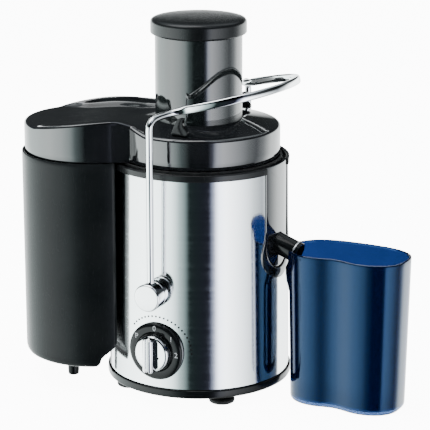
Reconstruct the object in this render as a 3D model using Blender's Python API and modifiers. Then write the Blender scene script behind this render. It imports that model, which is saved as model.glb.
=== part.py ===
"""Centrifugal juicer: motor base, juice bowl, spinning sieve basket, smoked cover with feed
chute and pusher, chrome locking arm, pulp bin and juice jug.

The motor axis is vertical.  In the machine frame it stands at X = 0, Y = 0, with the juice spout
on +X, the control dial and the front arm pivot on -Y, and the pulp bin on the -X side.  The empty
"juicer" carries everything to its place over the centre of the footprint.
"""
import math

import bmesh
import bpy
from mathutils import Matrix, Vector

MM = 0.001
GAP = 0.3 * MM                     # air left between pieces that touch
AXIS_X = -24.95 * MM               # motor axis, seen from the centre of the footprint

# Motor base
FOOT_HEIGHT = 10.5 * MM
FOOT_RADIUS = 13.6 * MM
FOOT_CIRCLE = 75.7 * MM
SKIRT_BOTTOM = 10.8 * MM
SKIRT_TOP = 20.0 * MM
SKIRT_RADIUS = 95.5 * MM
BODY_TOP = 235.0 * MM
BODY_RADIUS_LOW = 93.6 * MM        # outside of the steel wrap at the skirt
BODY_RADIUS_HIGH = 91.3 * MM       # outside of the steel wrap at the collar
STEEL = 0.8 * MM
BACK_PANEL_ANGLE = 30.0            # degrees each way from the bin's direction
COLLAR_TOP = 242.0 * MM
COLLAR_RADIUS = 92.7 * MM
COLLAR_INNER = 88.8 * MM
DECK_Z = 138.0 * MM                # platform that the juice bowl stands on
DECK_THICKNESS = 4.0 * MM
MOTOR_SCREW_CIRCLE = 45.0 * MM
BASE_SCREW_CIRCLE = 62.0 * MM
MOTOR_TOP = 112.0 * MM             # underside of the upper motor bracket
INLET_ANGLE = math.radians(135.0)
INLET_Z = 38.0 * MM

# Cut-out for the spout panel, centred on +X
NOTCH_HALF_WIDTH = 24.5 * MM
NOTCH_BOTTOM = 134.0 * MM
NOTCH_EASE = 1.5 * MM              # how far the wrap and housing stay clear of the cut-out
TRIM_WIDTH = 6.5 * MM
TRIM_BOTTOM = 124.0 * MM

# Bowl, cover and chute
BOWL_RADIUS = 85.5 * MM
BOWL_BOTTOM = 146.0 * MM
COVER_RADIUS = 83.0 * MM
COVER_BOTTOM = 244.5 * MM
COVER_RIM = 275.0 * MM
COVER_CROWN = 281.0 * MM           # where the top meets the chute
CHUTE_RADIUS = 44.2 * MM
CHUTE_TOP = 367.0 * MM
SHELL = 2.5 * MM
CAP_RADIUS = 48.7 * MM
CAP_TOP = 385.0 * MM

# Pulp bin, on its own axis turned towards the front
BIN_ANGLE = math.radians(180.0 + 17.0)
BIN_CENTRE = 112.0 * MM            # centre of the round outer end, from the motor axis
BIN_BOTTOM = 28.0 * MM
BIN_TOP = 243.8 * MM
BIN_CLEARANCE = 97.0 * MM          # radius that the bin hugs round the body
LID_HALF_WIDTH = 69.0 * MM
LID_CORNER = Vector((75.0, 61.5)) * MM     # where the lid's sides turn in to the round cover
LID_NECK = Vector((60.0, 56.5)) * MM
BIN_MARGIN = 3.0 * MM              # how far the bin stands out beyond the lid
PEG_PLACE = (133.0 * MM, 12.0 * MM)
PEG_RADIUS = 6.0 * MM

# Arm
PIVOT_X = 2.5 * MM
PIVOT_Z = 121.0 * MM
CAP_START = 97.0 * MM              # pivot cap, out from the middle plane
CAP_END = 118.5 * MM
ARM_Y = 108.7 * MM
ARM_ROD = 3.5 * MM
BOW_TILT = math.radians(14.0)
BOW_START = Vector((12.0, 0.0, 302.0)) * MM
BOW_REACH = 92.0 * MM
BOW_HALF_WIDTH = 76.0 * MM
BOW_BAND = 6.0 * MM
BOW_THICKNESS = 8.0 * MM

# Dial
DIAL_Z = 58.5 * MM
BEZEL_RADIUS = 30.0 * MM
KNOB_RADIUS = 19.0 * MM

# Jug
JUG_CENTRE = Vector((167.0, 5.0, 0.0)) * MM
JUG_LENGTH = 62.0 * MM             # half length at the rim
JUG_WIDTH = 38.0 * MM              # half width at the rim
JUG_HEIGHT = 158.0 * MM
JUG_TAPER = 0.945                  # foot size over rim size
JUG_WALL = 2.4 * MM
JUG_FLOOR = 4.0 * MM
JUG_NOTCH = 16.0 * MM              # radius of the notch that takes the spout

# Spout
SPOUT_TILT = math.radians(20.0)
SPOUT_ROOT = Vector((84.0, 0.0, 162.0)) * MM
SPOUT_LENGTH = 32.0 * MM
SPOUT_RADIUS = 11.0 * MM

FINE = 40                          # facets round the large turned pieces
COARSE = 16                        # facets round the small ones

FINISHES = {
    "black_gloss": ((0.012, 0.013, 0.014), 0.18, 0.0),
    "black_satin": ((0.015, 0.015, 0.016), 0.45, 0.0),
    "charcoal": ((0.035, 0.038, 0.040), 0.28, 0.0),
    "smoke": ((0.030, 0.034, 0.038), 0.08, 0.0),
    "steel": ((0.62, 0.64, 0.65), 0.28, 1.0),
    "chrome": ((0.82, 0.83, 0.84), 0.06, 1.0),
    "copper": ((0.72, 0.36, 0.20), 0.35, 1.0),
    "laminate": ((0.30, 0.31, 0.32), 0.45, 1.0),
    "rubber": ((0.02, 0.02, 0.02), 0.8, 0.0),
    "blue": ((0.03, 0.10, 0.30), 0.06, 0.0),
}


def clear_scene():
    for item in list(bpy.data.objects):
        bpy.data.objects.remove(item, do_unlink=True)


def make_collections():
    parts = bpy.data.collections.new("centrifugal_juicer")
    cutters = bpy.data.collections.new("cutters")
    bpy.context.scene.collection.children.link(parts)
    bpy.context.scene.collection.children.link(cutters)
    return parts, cutters


clear_scene()
PARTS, CUTTERS = make_collections()
JUICER = bpy.data.objects.new("juicer", None)
JUICER.location = (AXIS_X, 0.0, 0.0)
PARTS.objects.link(JUICER)


def finish_material(name, finish):
    colour, roughness, metallic = FINISHES[finish]
    material = bpy.data.materials.new(name + "_" + finish)
    material.use_nodes = True
    shader = material.node_tree.nodes["Principled BSDF"]
    shader.inputs["Base Color"].default_value = (*colour, 1.0)
    shader.inputs["Roughness"].default_value = roughness
    shader.inputs["Metallic"].default_value = metallic
    return material


def new_object(name, mesh):
    """A mesh object among the cutters, until part() makes it a piece."""
    item = bpy.data.objects.new(name, mesh)
    CUTTERS.objects.link(item)
    return item


def part(item, name, finish, parent=None):
    """Name a finished solid, give it its finish and hang it in the juicer."""
    CUTTERS.objects.unlink(item)
    PARTS.objects.link(item)
    item.name = name
    item.data.name = name
    item.data.materials.clear()
    item.data.materials.append(finish_material(name, finish))
    item.data.shade_smooth()
    item.data.set_sharp_from_angle(angle=math.radians(35.0))
    item.parent = parent or JUICER
    return item


def joint_empty(name, place):
    """An empty on a joint's axis that carries the pieces of one moving body."""
    empty = bpy.data.objects.new(name, None)
    PARTS.objects.link(empty)
    empty.parent = JUICER
    empty.location = place
    return empty


def hang(item, empty):
    """Parent to a joint's empty and keep the piece where it is."""
    item.parent = empty
    item.matrix_parent_inverse = Matrix.Translation(-empty.location)
    return item


def from_bmesh(bm, name="solid"):
    bmesh.ops.recalc_face_normals(bm, faces=bm.faces)
    mesh = bpy.data.meshes.new(name)
    bm.to_mesh(mesh)
    bm.free()
    return new_object(name, mesh)


def box(size, centre, turn=None):
    bm = bmesh.new()
    bmesh.ops.create_cube(bm, size=1.0)
    bmesh.ops.scale(bm, vec=Vector(size), verts=bm.verts)
    if turn is not None:
        bmesh.ops.transform(bm, matrix=turn.to_4x4(), verts=bm.verts)
    bmesh.ops.translate(bm, vec=Vector(centre), verts=bm.verts)
    return from_bmesh(bm)


def rod(radius, start, end, facets=COARSE, end_radius=None):
    """A cylinder or cone between two points."""
    start = Vector(start)
    end = Vector(end)
    bm = bmesh.new()
    bmesh.ops.create_cone(bm, cap_ends=True, segments=facets, radius1=radius,
                          radius2=radius if end_radius is None else end_radius,
                          depth=(end - start).length)
    turn = (end - start).to_track_quat("Z", "Y").to_matrix().to_4x4()
    bmesh.ops.transform(bm, matrix=Matrix.Translation((start + end) / 2) @ turn, verts=bm.verts)
    return from_bmesh(bm)


def turned(profile, facets=FINE, centre=(0.0, 0.0)):
    """A closed profile of (radius, height), outer side first and downwards, turned about Z."""
    bm = bmesh.new()
    corners = [bm.verts.new((r, 0.0, z)) for r, z in profile]
    for here, there in zip(corners, corners[1:] + corners[:1]):
        if max(here.co.x, there.co.x) > 0.0:
            bm.edges.new((here, there))
    mesh = bpy.data.meshes.new("turned")
    bm.to_mesh(mesh)
    bm.free()
    item = new_object("turned", mesh)
    screw = item.modifiers.new("turn", "SCREW")
    screw.steps = facets
    screw.render_steps = facets
    screw.use_merge_vertices = True
    screw.merge_threshold = 0.00001
    apply_modifiers(item)
    weld(item.data)
    item.data.transform(Matrix.Translation((*centre, 0.0)))
    return item


def weld(mesh):
    """Join doubled corners and drop the faces that collapse on an axis."""
    bm = bmesh.new()
    bm.from_mesh(mesh)
    bmesh.ops.remove_doubles(bm, verts=bm.verts, dist=0.000002)
    bmesh.ops.dissolve_degenerate(bm, edges=bm.edges, dist=0.000001)
    bm.to_mesh(mesh)
    bm.free()


def apply_modifiers(item):
    graph = bpy.context.evaluated_depsgraph_get()
    mesh = bpy.data.meshes.new_from_object(item.evaluated_get(graph))
    item.modifiers.clear()
    item.data = mesh


def discard(item):
    bpy.data.objects.remove(item, do_unlink=True)


def combine(item, other, operation):
    """Apply one Boolean and drop the second solid."""
    modifier = item.modifiers.new("cut", "BOOLEAN")
    modifier.operation = operation
    modifier.solver = "EXACT"
    modifier.object = other
    apply_modifiers(item)
    weld(item.data)
    discard(other)
    return item


def cut(item, *others):
    for other in others:
        combine(item, other, "DIFFERENCE")
    return item


def join(item, *others):
    for other in others:
        combine(item, other, "UNION")
    return item


def common(item, other):
    return combine(item, other, "INTERSECT")


def bevel(item, width, segments=2, angle=40.0):
    modifier = item.modifiers.new("round", "BEVEL")
    modifier.width = width
    modifier.segments = segments
    modifier.limit_method = "ANGLE"
    modifier.angle_limit = math.radians(angle)
    apply_modifiers(item)
    return item


def curve_to_mesh(curve):
    """A mesh solid from a curve object, with its caps welded on."""
    item = bpy.data.objects.new("curve", curve)
    CUTTERS.objects.link(item)
    graph = bpy.context.evaluated_depsgraph_get()
    mesh = bpy.data.meshes.new_from_object(item.evaluated_get(graph))
    bm = bmesh.new()
    bm.from_mesh(mesh)
    bmesh.ops.remove_doubles(bm, verts=bm.verts, dist=0.00001)
    bmesh.ops.recalc_face_normals(bm, faces=bm.faces)
    bm.to_mesh(mesh)
    bm.free()
    solid = new_object("solid", mesh)
    solid.matrix_world = item.matrix_world
    discard(item)
    return solid


def plate(outline, low, high):
    """A flat outline of (x, y) points, filled and extruded between two heights."""
    curve = bpy.data.curves.new("outline", "CURVE")
    curve.dimensions = "2D"
    curve.fill_mode = "BOTH"
    curve.extrude = (high - low) / 2
    spline = curve.splines.new("POLY")
    spline.points.add(len(outline) - 1)
    for point, (x, y) in zip(spline.points, outline):
        point.co = (x, y, 0.0, 1.0)
    spline.use_cyclic_u = True
    solid = curve_to_mesh(curve)
    solid.data.transform(Matrix.Translation((0.0, 0.0, (low + high) / 2)))
    return solid


def tube_along(path, radius, resolution=2):
    """A round rod that follows a list of points."""
    curve = bpy.data.curves.new("rod", "CURVE")
    curve.dimensions = "3D"
    curve.bevel_depth = radius
    curve.bevel_resolution = resolution
    curve.use_fill_caps = True
    spline = curve.splines.new("POLY")
    spline.points.add(len(path) - 1)
    for point, place in zip(spline.points, path):
        point.co = (*place, 1.0)
    return curve_to_mesh(curve)


def arc(centre, radius, start, end, count):
    """Points on a circle in plan, from one angle to another in degrees."""
    points = []
    for step in range(count + 1):
        angle = math.radians(start + (end - start) * step / count)
        points.append((centre[0] + radius * math.cos(angle), centre[1] + radius * math.sin(angle)))
    return points


def turn_plan(points, angle):
    c, s = math.cos(angle), math.sin(angle)
    return [(x * c - y * s, x * s + y * c) for x, y in points]


def ring_places(count, radius, first=0.0):
    """Evenly spaced places on a circle about the motor axis."""
    angles = [math.radians(first + 360.0 * step / count) for step in range(count)]
    return [(radius * math.cos(angle), radius * math.sin(angle)) for angle in angles]


def body_radius(z):
    """Outside radius of the steel wrap at a height."""
    share = (z - SKIRT_TOP) / (BODY_TOP - SKIRT_TOP)
    return BODY_RADIUS_LOW + (BODY_RADIUS_HIGH - BODY_RADIUS_LOW) * share


def wall_ring(outer, inner, low, high):
    """A wall that follows the body's slight taper, set in from the steel's outside."""
    return turned([(body_radius(high) - outer, high), (body_radius(low) - outer, low),
                   (body_radius(low) - inner, low), (body_radius(high) - inner, high)])


def notch_solid(half_width, bottom, inner=70.0 * MM, outer=110.0 * MM, top=260.0 * MM):
    """A U-shaped block through the +X side, with a round bottom."""
    centre_z = bottom + half_width
    outline = [(-half_width, top), *arc((0.0, centre_z), half_width, 180.0, 360.0, 12),
               (half_width, top)]
    solid = plate(outline, inner, outer)
    # The outline's x becomes Y, its y becomes Z, and its thickness becomes X.
    turn = Matrix(((0.0, 0.0, 1.0), (1.0, 0.0, 0.0), (0.0, 1.0, 0.0))).to_4x4()
    solid.data.transform(turn)
    return solid


# ---------------------------------------------------------------- base

def make_feet():
    for number, (x, y) in enumerate(ring_places(4, FOOT_CIRCLE, 45.0), start=1):
        foot = turned([(FOOT_RADIUS - 2.0 * MM, FOOT_HEIGHT), (FOOT_RADIUS, 7.5 * MM),
                       (FOOT_RADIUS, 1.5 * MM), (FOOT_RADIUS - 1.5 * MM, 0.0), (0.0, 0.0),
                       (0.0, FOOT_HEIGHT)], COARSE, (x, y))
        part(foot, f"rubber_foot_{number}", "rubber")


def make_base_plate():
    base = turned([(SKIRT_RADIUS - 5.5 * MM, 15.0 * MM), (SKIRT_RADIUS - 5.5 * MM, SKIRT_BOTTOM),
                   (0.0, SKIRT_BOTTOM), (0.0, 15.0 * MM)])
    for row in (-1.5, -0.5, 0.5, 1.5):
        cut(base, box((40.0 * MM, 3.0 * MM, 8.0 * MM), (0.0, row * 8.0 * MM, 14.0 * MM)))
    for x, y in ring_places(4, BASE_SCREW_CIRCLE):
        cut(base, rod(2.3 * MM, (x, y, 10.0 * MM), (x, y, 18.0 * MM), 12))
    return part(base, "base_plate", "black_satin")


def make_base_skirt():
    skirt = turned([(SKIRT_RADIUS - 1.2 * MM, SKIRT_TOP - GAP), (SKIRT_RADIUS, SKIRT_TOP - 1.2 * MM),
                    (SKIRT_RADIUS, SKIRT_BOTTOM + 1.5 * MM), (SKIRT_RADIUS - 1.5 * MM, SKIRT_BOTTOM),
                    (SKIRT_RADIUS - 5.0 * MM, SKIRT_BOTTOM), (SKIRT_RADIUS - 5.0 * MM, SKIRT_TOP - GAP)])
    return part(skirt, "base_skirt", "black_gloss")


def make_base_screws():
    low = SKIRT_BOTTOM - GAP
    top = 30.0 * MM
    for number, (x, y) in enumerate(ring_places(4, BASE_SCREW_CIRCLE), start=1):
        screw = turned([(1.9 * MM, top), (1.9 * MM, low), (3.8 * MM, low),
                        (3.8 * MM, low - 1.6 * MM), (0.0, low - 2.2 * MM), (0.0, top)],
                       10, (x, y))
        part(screw, f"base_screw_{number}", "steel")


def make_motor_housing():
    """Moulded inner shell; its black back panel shows between the ends of the steel wrap."""
    housing = wall_ring(STEEL + GAP, STEEL + 2.8 * MM, SKIRT_TOP + GAP, BODY_TOP)
    back = wall_ring(0.0, STEEL + 1.0 * MM, SKIRT_TOP + GAP, BODY_TOP)
    join(housing, common(back, back_sector(BACK_PANEL_ANGLE)))
    cut(housing, notch_solid(NOTCH_HALF_WIDTH + NOTCH_EASE, NOTCH_BOTTOM - NOTCH_EASE))
    for side in (-1.0, 1.0):
        cut(housing, pivot_rod(side, 10.4 * MM, 80.0 * MM, 100.0 * MM))
    cut(housing, rod(5.0 * MM, (0.0, -80.0 * MM, DIAL_Z), (0.0, -100.0 * MM, DIAL_Z)))
    cut(housing, inlet_rod(7.6 * MM, 80.0 * MM, 100.0 * MM))
    return part(housing, "motor_housing", "black_gloss")


def back_sector(half_angle):
    """A wedge about the bin's direction, from the motor axis outwards."""
    outline = [(0.0, 0.0), *arc((0.0, 0.0), 120.0 * MM, -half_angle, half_angle, 8)]
    return plate(turn_plan(outline, BIN_ANGLE), 0.0, 260.0 * MM)


def inlet_rod(radius, near, far, facets=COARSE):
    """A rod on the axis of the mains inlet, low at the back of the base."""
    way = Vector((math.cos(INLET_ANGLE), math.sin(INLET_ANGLE), 0.0))
    height = Vector((0.0, 0.0, INLET_Z))
    return rod(radius, way * near + height, way * far + height, facets)


def pivot_rod(side, radius, near, far, facets=COARSE):
    """A rod on the arm's pivot axis; side is -1 at the front and 1 at the back."""
    return rod(radius, (PIVOT_X, side * near, PIVOT_Z), (PIVOT_X, side * far, PIVOT_Z), facets)


def dial_rod(radius, near, far, facets=COARSE, far_radius=None):
    """A rod on the dial's axis, towards the front."""
    return rod(radius, (0.0, -near, DIAL_Z), (0.0, -far, DIAL_Z), facets, far_radius)


def make_steel_wrap():
    wrap = wall_ring(0.0, STEEL, SKIRT_TOP + GAP, BODY_TOP)
    cut(wrap, back_sector(BACK_PANEL_ANGLE + 0.3),
        notch_solid(NOTCH_HALF_WIDTH + NOTCH_EASE, NOTCH_BOTTOM - NOTCH_EASE))
    for side in (-1.0, 1.0):
        cut(wrap, pivot_rod(side, 10.4 * MM, 80.0 * MM, 100.0 * MM))
    cut(wrap, dial_rod(6.0 * MM, 80.0 * MM, 100.0 * MM))
    cut(wrap, inlet_rod(8.6 * MM, 80.0 * MM, 100.0 * MM))
    return part(wrap, "steel_wrap", "steel")


def make_notch_trim():
    """U-shaped frame that lies on the wrap round the spout panel, widest at the bottom."""
    trim = notch_solid(NOTCH_HALF_WIDTH + TRIM_WIDTH, TRIM_BOTTOM)
    cut(trim, notch_solid(NOTCH_HALF_WIDTH, NOTCH_BOTTOM))
    common(trim, wall_ring(-1.5 * MM, -GAP, 100.0 * MM, BODY_TOP))
    return part(trim, "notch_trim", "black_gloss")


def make_top_collar():
    collar = turned([(COLLAR_RADIUS - 1.0 * MM, COLLAR_TOP), (COLLAR_RADIUS, COLLAR_TOP - 1.0 * MM),
                     (COLLAR_RADIUS, BODY_TOP + GAP), (COLLAR_INNER, BODY_TOP + GAP),
                     (COLLAR_INNER, COLLAR_TOP)])
    cut(collar, notch_solid(NOTCH_HALF_WIDTH, NOTCH_BOTTOM))
    return part(collar, "top_collar", "black_satin")


def make_bowl_deck():
    """Platform across the top of the motor room, under the juice bowl."""
    low = DECK_Z - DECK_THICKNESS
    deck = turned([(87.5 * MM, DECK_Z), (87.5 * MM, low), (8.0 * MM, low), (8.0 * MM, DECK_Z)])
    cut(deck, notch_solid(NOTCH_HALF_WIDTH + NOTCH_EASE, NOTCH_BOTTOM - NOTCH_EASE))
    return part(deck, "bowl_deck", "black_satin")


def make_shaft_seal():
    low = DECK_Z - DECK_THICKNESS
    seal = turned([(7.7 * MM, DECK_Z), (7.7 * MM, low), (4.4 * MM, low), (4.4 * MM, DECK_Z)],
                  COARSE)
    return part(seal, "shaft_seal", "rubber")


def make_cord_inlet():
    """Round mains inlet grommet; the cord itself is not part of the model."""
    inlet = inlet_rod(7.0 * MM, 86.0 * MM, 94.5 * MM)
    join(inlet, inlet_rod(10.5 * MM, 94.3 * MM, 97.0 * MM))
    cut(inlet, inlet_rod(3.6 * MM, 80.0 * MM, 100.0 * MM))
    return part(inlet, "cord_inlet", "rubber")


# ---------------------------------------------------------------- motor

def make_motor():
    bracket = turned([(50.0 * MM, 21.0 * MM), (50.0 * MM, 17.0 * MM), (4.8 * MM, 17.0 * MM),
                      (4.8 * MM, 19.0 * MM), (9.3 * MM, 19.0 * MM), (9.3 * MM, 28.0 * MM),
                      (13.0 * MM, 28.0 * MM), (13.0 * MM, 21.0 * MM)], 24)
    for x, y in ring_places(4, MOTOR_SCREW_CIRCLE, 45.0):
        join(bracket, rod(3.6 * MM, (x, y, 20.0 * MM), (x, y, MOTOR_TOP - GAP), 12))
    part(bracket, "lower_motor_bracket", "charcoal")

    top = turned([(50.0 * MM, MOTOR_TOP + 4.0 * MM), (50.0 * MM, MOTOR_TOP), (4.8 * MM, MOTOR_TOP),
                  (4.8 * MM, MOTOR_TOP + 2.0 * MM), (11.3 * MM, MOTOR_TOP + 2.0 * MM),
                  (11.3 * MM, MOTOR_TOP + 12.0 * MM), (15.0 * MM, MOTOR_TOP + 12.0 * MM),
                  (15.0 * MM, MOTOR_TOP + 4.0 * MM)], 24)
    part(top, "upper_motor_bracket", "charcoal")

    low = MOTOR_TOP + 4.0 * MM + GAP
    for number, (x, y) in enumerate(ring_places(4, MOTOR_SCREW_CIRCLE, 45.0), start=1):
        screw = rod(3.4 * MM, (x, y, low), (x, y, low + 2.4 * MM), 10)
        part(screw, f"motor_screw_{number}", "steel")

    bearing_ring("lower_bearing", 9.0 * MM, 20.0 * MM, 27.0 * MM)
    bearing_ring("upper_bearing", 11.0 * MM, MOTOR_TOP + 2.5 * MM, MOTOR_TOP + 11.0 * MM)

    field = turned([(39.0 * MM, 94.0 * MM), (39.0 * MM, 52.0 * MM), (23.2 * MM, 52.0 * MM),
                    (23.2 * MM, 94.0 * MM)], 24)
    part(field, "motor_field", "laminate")
    coils = turned([(36.0 * MM, 51.7 * MM), (36.0 * MM, 46.0 * MM), (26.0 * MM, 46.0 * MM),
                    (26.0 * MM, 51.7 * MM)], 24)
    part(coils, "field_coils", "copper")

    for side, name in ((-1.0, "left_brush_holder"), (1.0, "right_brush_holder")):
        holder = box((17.0 * MM, 8.0 * MM, 9.0 * MM), (side * 21.5 * MM, 0.0, 37.0 * MM))
        part(holder, name, "copper")


def bearing_ring(name, radius, low, high):
    ring = turned([(radius, high), (radius, low), (4.4 * MM, low), (4.4 * MM, high)], COARSE)
    return part(ring, name, "steel")


def make_switch():
    body = box((30.0 * MM, 22.0 * MM, 30.0 * MM), (0.0, -65.0 * MM, DIAL_Z))
    bevel(body, 1.2 * MM, 1)
    cut(body, dial_rod(3.5 * MM, 70.0 * MM, 80.0 * MM, 16))
    return part(body, "rotary_switch", "charcoal")


def make_dial_bezel():
    bezel = dial_rod(BEZEL_RADIUS, 80.0 * MM, 95.0 * MM, 48)
    join(bezel, dial_rod(BEZEL_RADIUS, 94.9 * MM, 98.0 * MM, 48, BEZEL_RADIUS - 3.5 * MM))
    cut(bezel, wall_ring(-GAP, 40.0 * MM, 0.0, 200.0 * MM), dial_rod(3.6 * MM, 70.0 * MM, 110.0 * MM))
    cut(bezel, dial_rod(KNOB_RADIUS + 1.0 * MM, 96.6 * MM, 99.0 * MM, 32))
    return part(bezel, "dial_bezel", "black_gloss")


def make_knob(empty):
    knob = dial_rod(KNOB_RADIUS, 97.0 * MM, 106.0 * MM, 40, KNOB_RADIUS - 1.0 * MM)
    grip = box((11.0 * MM, 10.0 * MM, 35.0 * MM), (0.0, -110.5 * MM, DIAL_Z))
    knob = join(knob, bevel(grip, 2.0 * MM, 2))
    join(knob, dial_rod(3.0 * MM, 70.6 * MM, 98.0 * MM, 16))
    hang(part(knob, "control_knob", "chrome"), empty)


# ---------------------------------------------------------------- arm

def make_pivot_pins():
    for side, name in ((-1.0, "front_pivot_pin"), (1.0, "rear_pivot_pin")):
        pin = pivot_rod(side, 10.0 * MM, 86.0 * MM, CAP_START - 2 * GAP)
        join(pin, pivot_rod(side, 12.5 * MM, 82.0 * MM, 86.5 * MM))
        join(pin, pivot_rod(side, 5.0 * MM, CAP_START - 1.0 * MM, 112.0 * MM))
        part(pin, name, "black_gloss")


def make_pivot_caps(empty):
    for side, name in ((-1.0, "front_pivot_cap"), (1.0, "rear_pivot_cap")):
        cap = pivot_rod(side, 14.0 * MM, CAP_START, CAP_END, 24)
        bevel(cap, 1.6 * MM, 1)
        cut(cap, pivot_rod(side, 5.4 * MM, 90.0 * MM, 112.6 * MM))
        hang(part(cap, name, "chrome"), empty)


def bow_point(share, half_width, reach):
    """A point of the bow in plan; share runs from -1 at the front to 1 at the back."""
    angle = share * math.pi / 2
    along = abs(math.cos(angle)) ** (2 / 2.2)
    across = math.copysign(abs(math.sin(angle)) ** (2 / 2.2), angle)
    return reach * along, half_width * across


def make_arm(empty):
    """One chromed piece: two upright rods bent inwards, and a flat bow round the chute."""
    steps = 14
    shares = [2 * step / steps - 1 for step in range(steps + 1)]
    half = BOW_BAND / 2
    outer = [bow_point(s, BOW_HALF_WIDTH + half, BOW_REACH + half) for s in shares]
    inner = [bow_point(s, BOW_HALF_WIDTH - half, BOW_REACH - half) for s in reversed(shares)]
    arm = plate(outer + inner, -BOW_THICKNESS / 2, BOW_THICKNESS / 2)
    arm.data.transform(Matrix.Translation(BOW_START) @ Matrix.Rotation(-BOW_TILT, 4, "Y"))
    for side in (-1.0, 1.0):
        upright = [(PIVOT_X, side * ARM_Y, PIVOT_Z + 14.4 * MM),
                   (PIVOT_X, side * ARM_Y, 291.0 * MM),
                   (PIVOT_X + 0.5 * MM, side * (ARM_Y - 2.5 * MM), 296.5 * MM),
                   (PIVOT_X + 2.0 * MM, side * (ARM_Y - 8.0 * MM), 300.0 * MM),
                   (BOW_START.x - 1.5 * MM, side * (BOW_HALF_WIDTH + 7.0 * MM), 301.0 * MM),
                   (BOW_START.x + 8.0 * MM, side * BOW_HALF_WIDTH, 304.0 * MM)]
        join(arm, tube_along(upright, ARM_ROD))
    return hang(part(arm, "locking_arm", "chrome"), empty)


# ---------------------------------------------------------------- bowl and basket

def spout_rod(radius, near, far, facets=COARSE):
    way = Vector((math.cos(SPOUT_TILT), 0.0, -math.sin(SPOUT_TILT)))
    return rod(radius, SPOUT_ROOT + way * near, SPOUT_ROOT + way * far, facets)


def make_juice_bowl():
    bowl = turned([(BOWL_RADIUS, 241.0 * MM), (BOWL_RADIUS, 238.0 * MM), (88.3 * MM, 238.0 * MM),
                   (88.3 * MM, 236.3 * MM), (BOWL_RADIUS, 236.3 * MM), (BOWL_RADIUS, BOWL_BOTTOM),
                   (14.0 * MM, BOWL_BOTTOM), (14.0 * MM, 162.0 * MM), (16.0 * MM, 162.0 * MM),
                   (16.0 * MM, BOWL_BOTTOM + 2.5 * MM), (BOWL_RADIUS - 2.0 * MM, BOWL_BOTTOM + 2.5 * MM),
                   (BOWL_RADIUS - 2.0 * MM, 241.0 * MM)])
    panel = notch_solid(NOTCH_HALF_WIDTH - GAP, NOTCH_BOTTOM + 1.0 * MM)
    common(panel, turned([(91.0 * MM, COLLAR_TOP), (92.0 * MM, 120.0 * MM), (89.0 * MM, 120.0 * MM),
                          (88.0 * MM, COLLAR_TOP)]))
    join(bowl, panel)
    for side in (-1.0, 1.0):
        join(bowl, box((6.0 * MM, 2.0 * MM, 84.0 * MM), (86.5 * MM, side * 18.0 * MM, 194.0 * MM)))
    cut(bowl, spout_rod(SPOUT_RADIUS + GAP, -8.0 * MM, 20.0 * MM))
    return part(bowl, "juice_bowl", "smoke")


def make_bowl_seal():
    seal = turned([(BOWL_RADIUS - GAP, 243.6 * MM), (BOWL_RADIUS - GAP, 241.0 * MM + GAP),
                   (BOWL_RADIUS - 1.8 * MM, 241.0 * MM + GAP), (BOWL_RADIUS - 1.8 * MM, 243.6 * MM)])
    return part(seal, "bowl_seal", "rubber")


def make_spout():
    spout = spout_rod(SPOUT_RADIUS, -1.5 * MM, SPOUT_LENGTH)
    cut(spout, spout_rod(SPOUT_RADIUS - 1.8 * MM, -5.0 * MM, SPOUT_LENGTH + 5.0 * MM))
    part(spout, "juice_spout", "black_gloss")
    ring = spout_rod(SPOUT_RADIUS + 0.9 * MM, SPOUT_LENGTH - 5.0 * MM, SPOUT_LENGTH - 3.4 * MM)
    cut(ring, spout_rod(SPOUT_RADIUS + GAP, 0.0, SPOUT_LENGTH))
    part(ring, "spout_ring", "steel")


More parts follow.
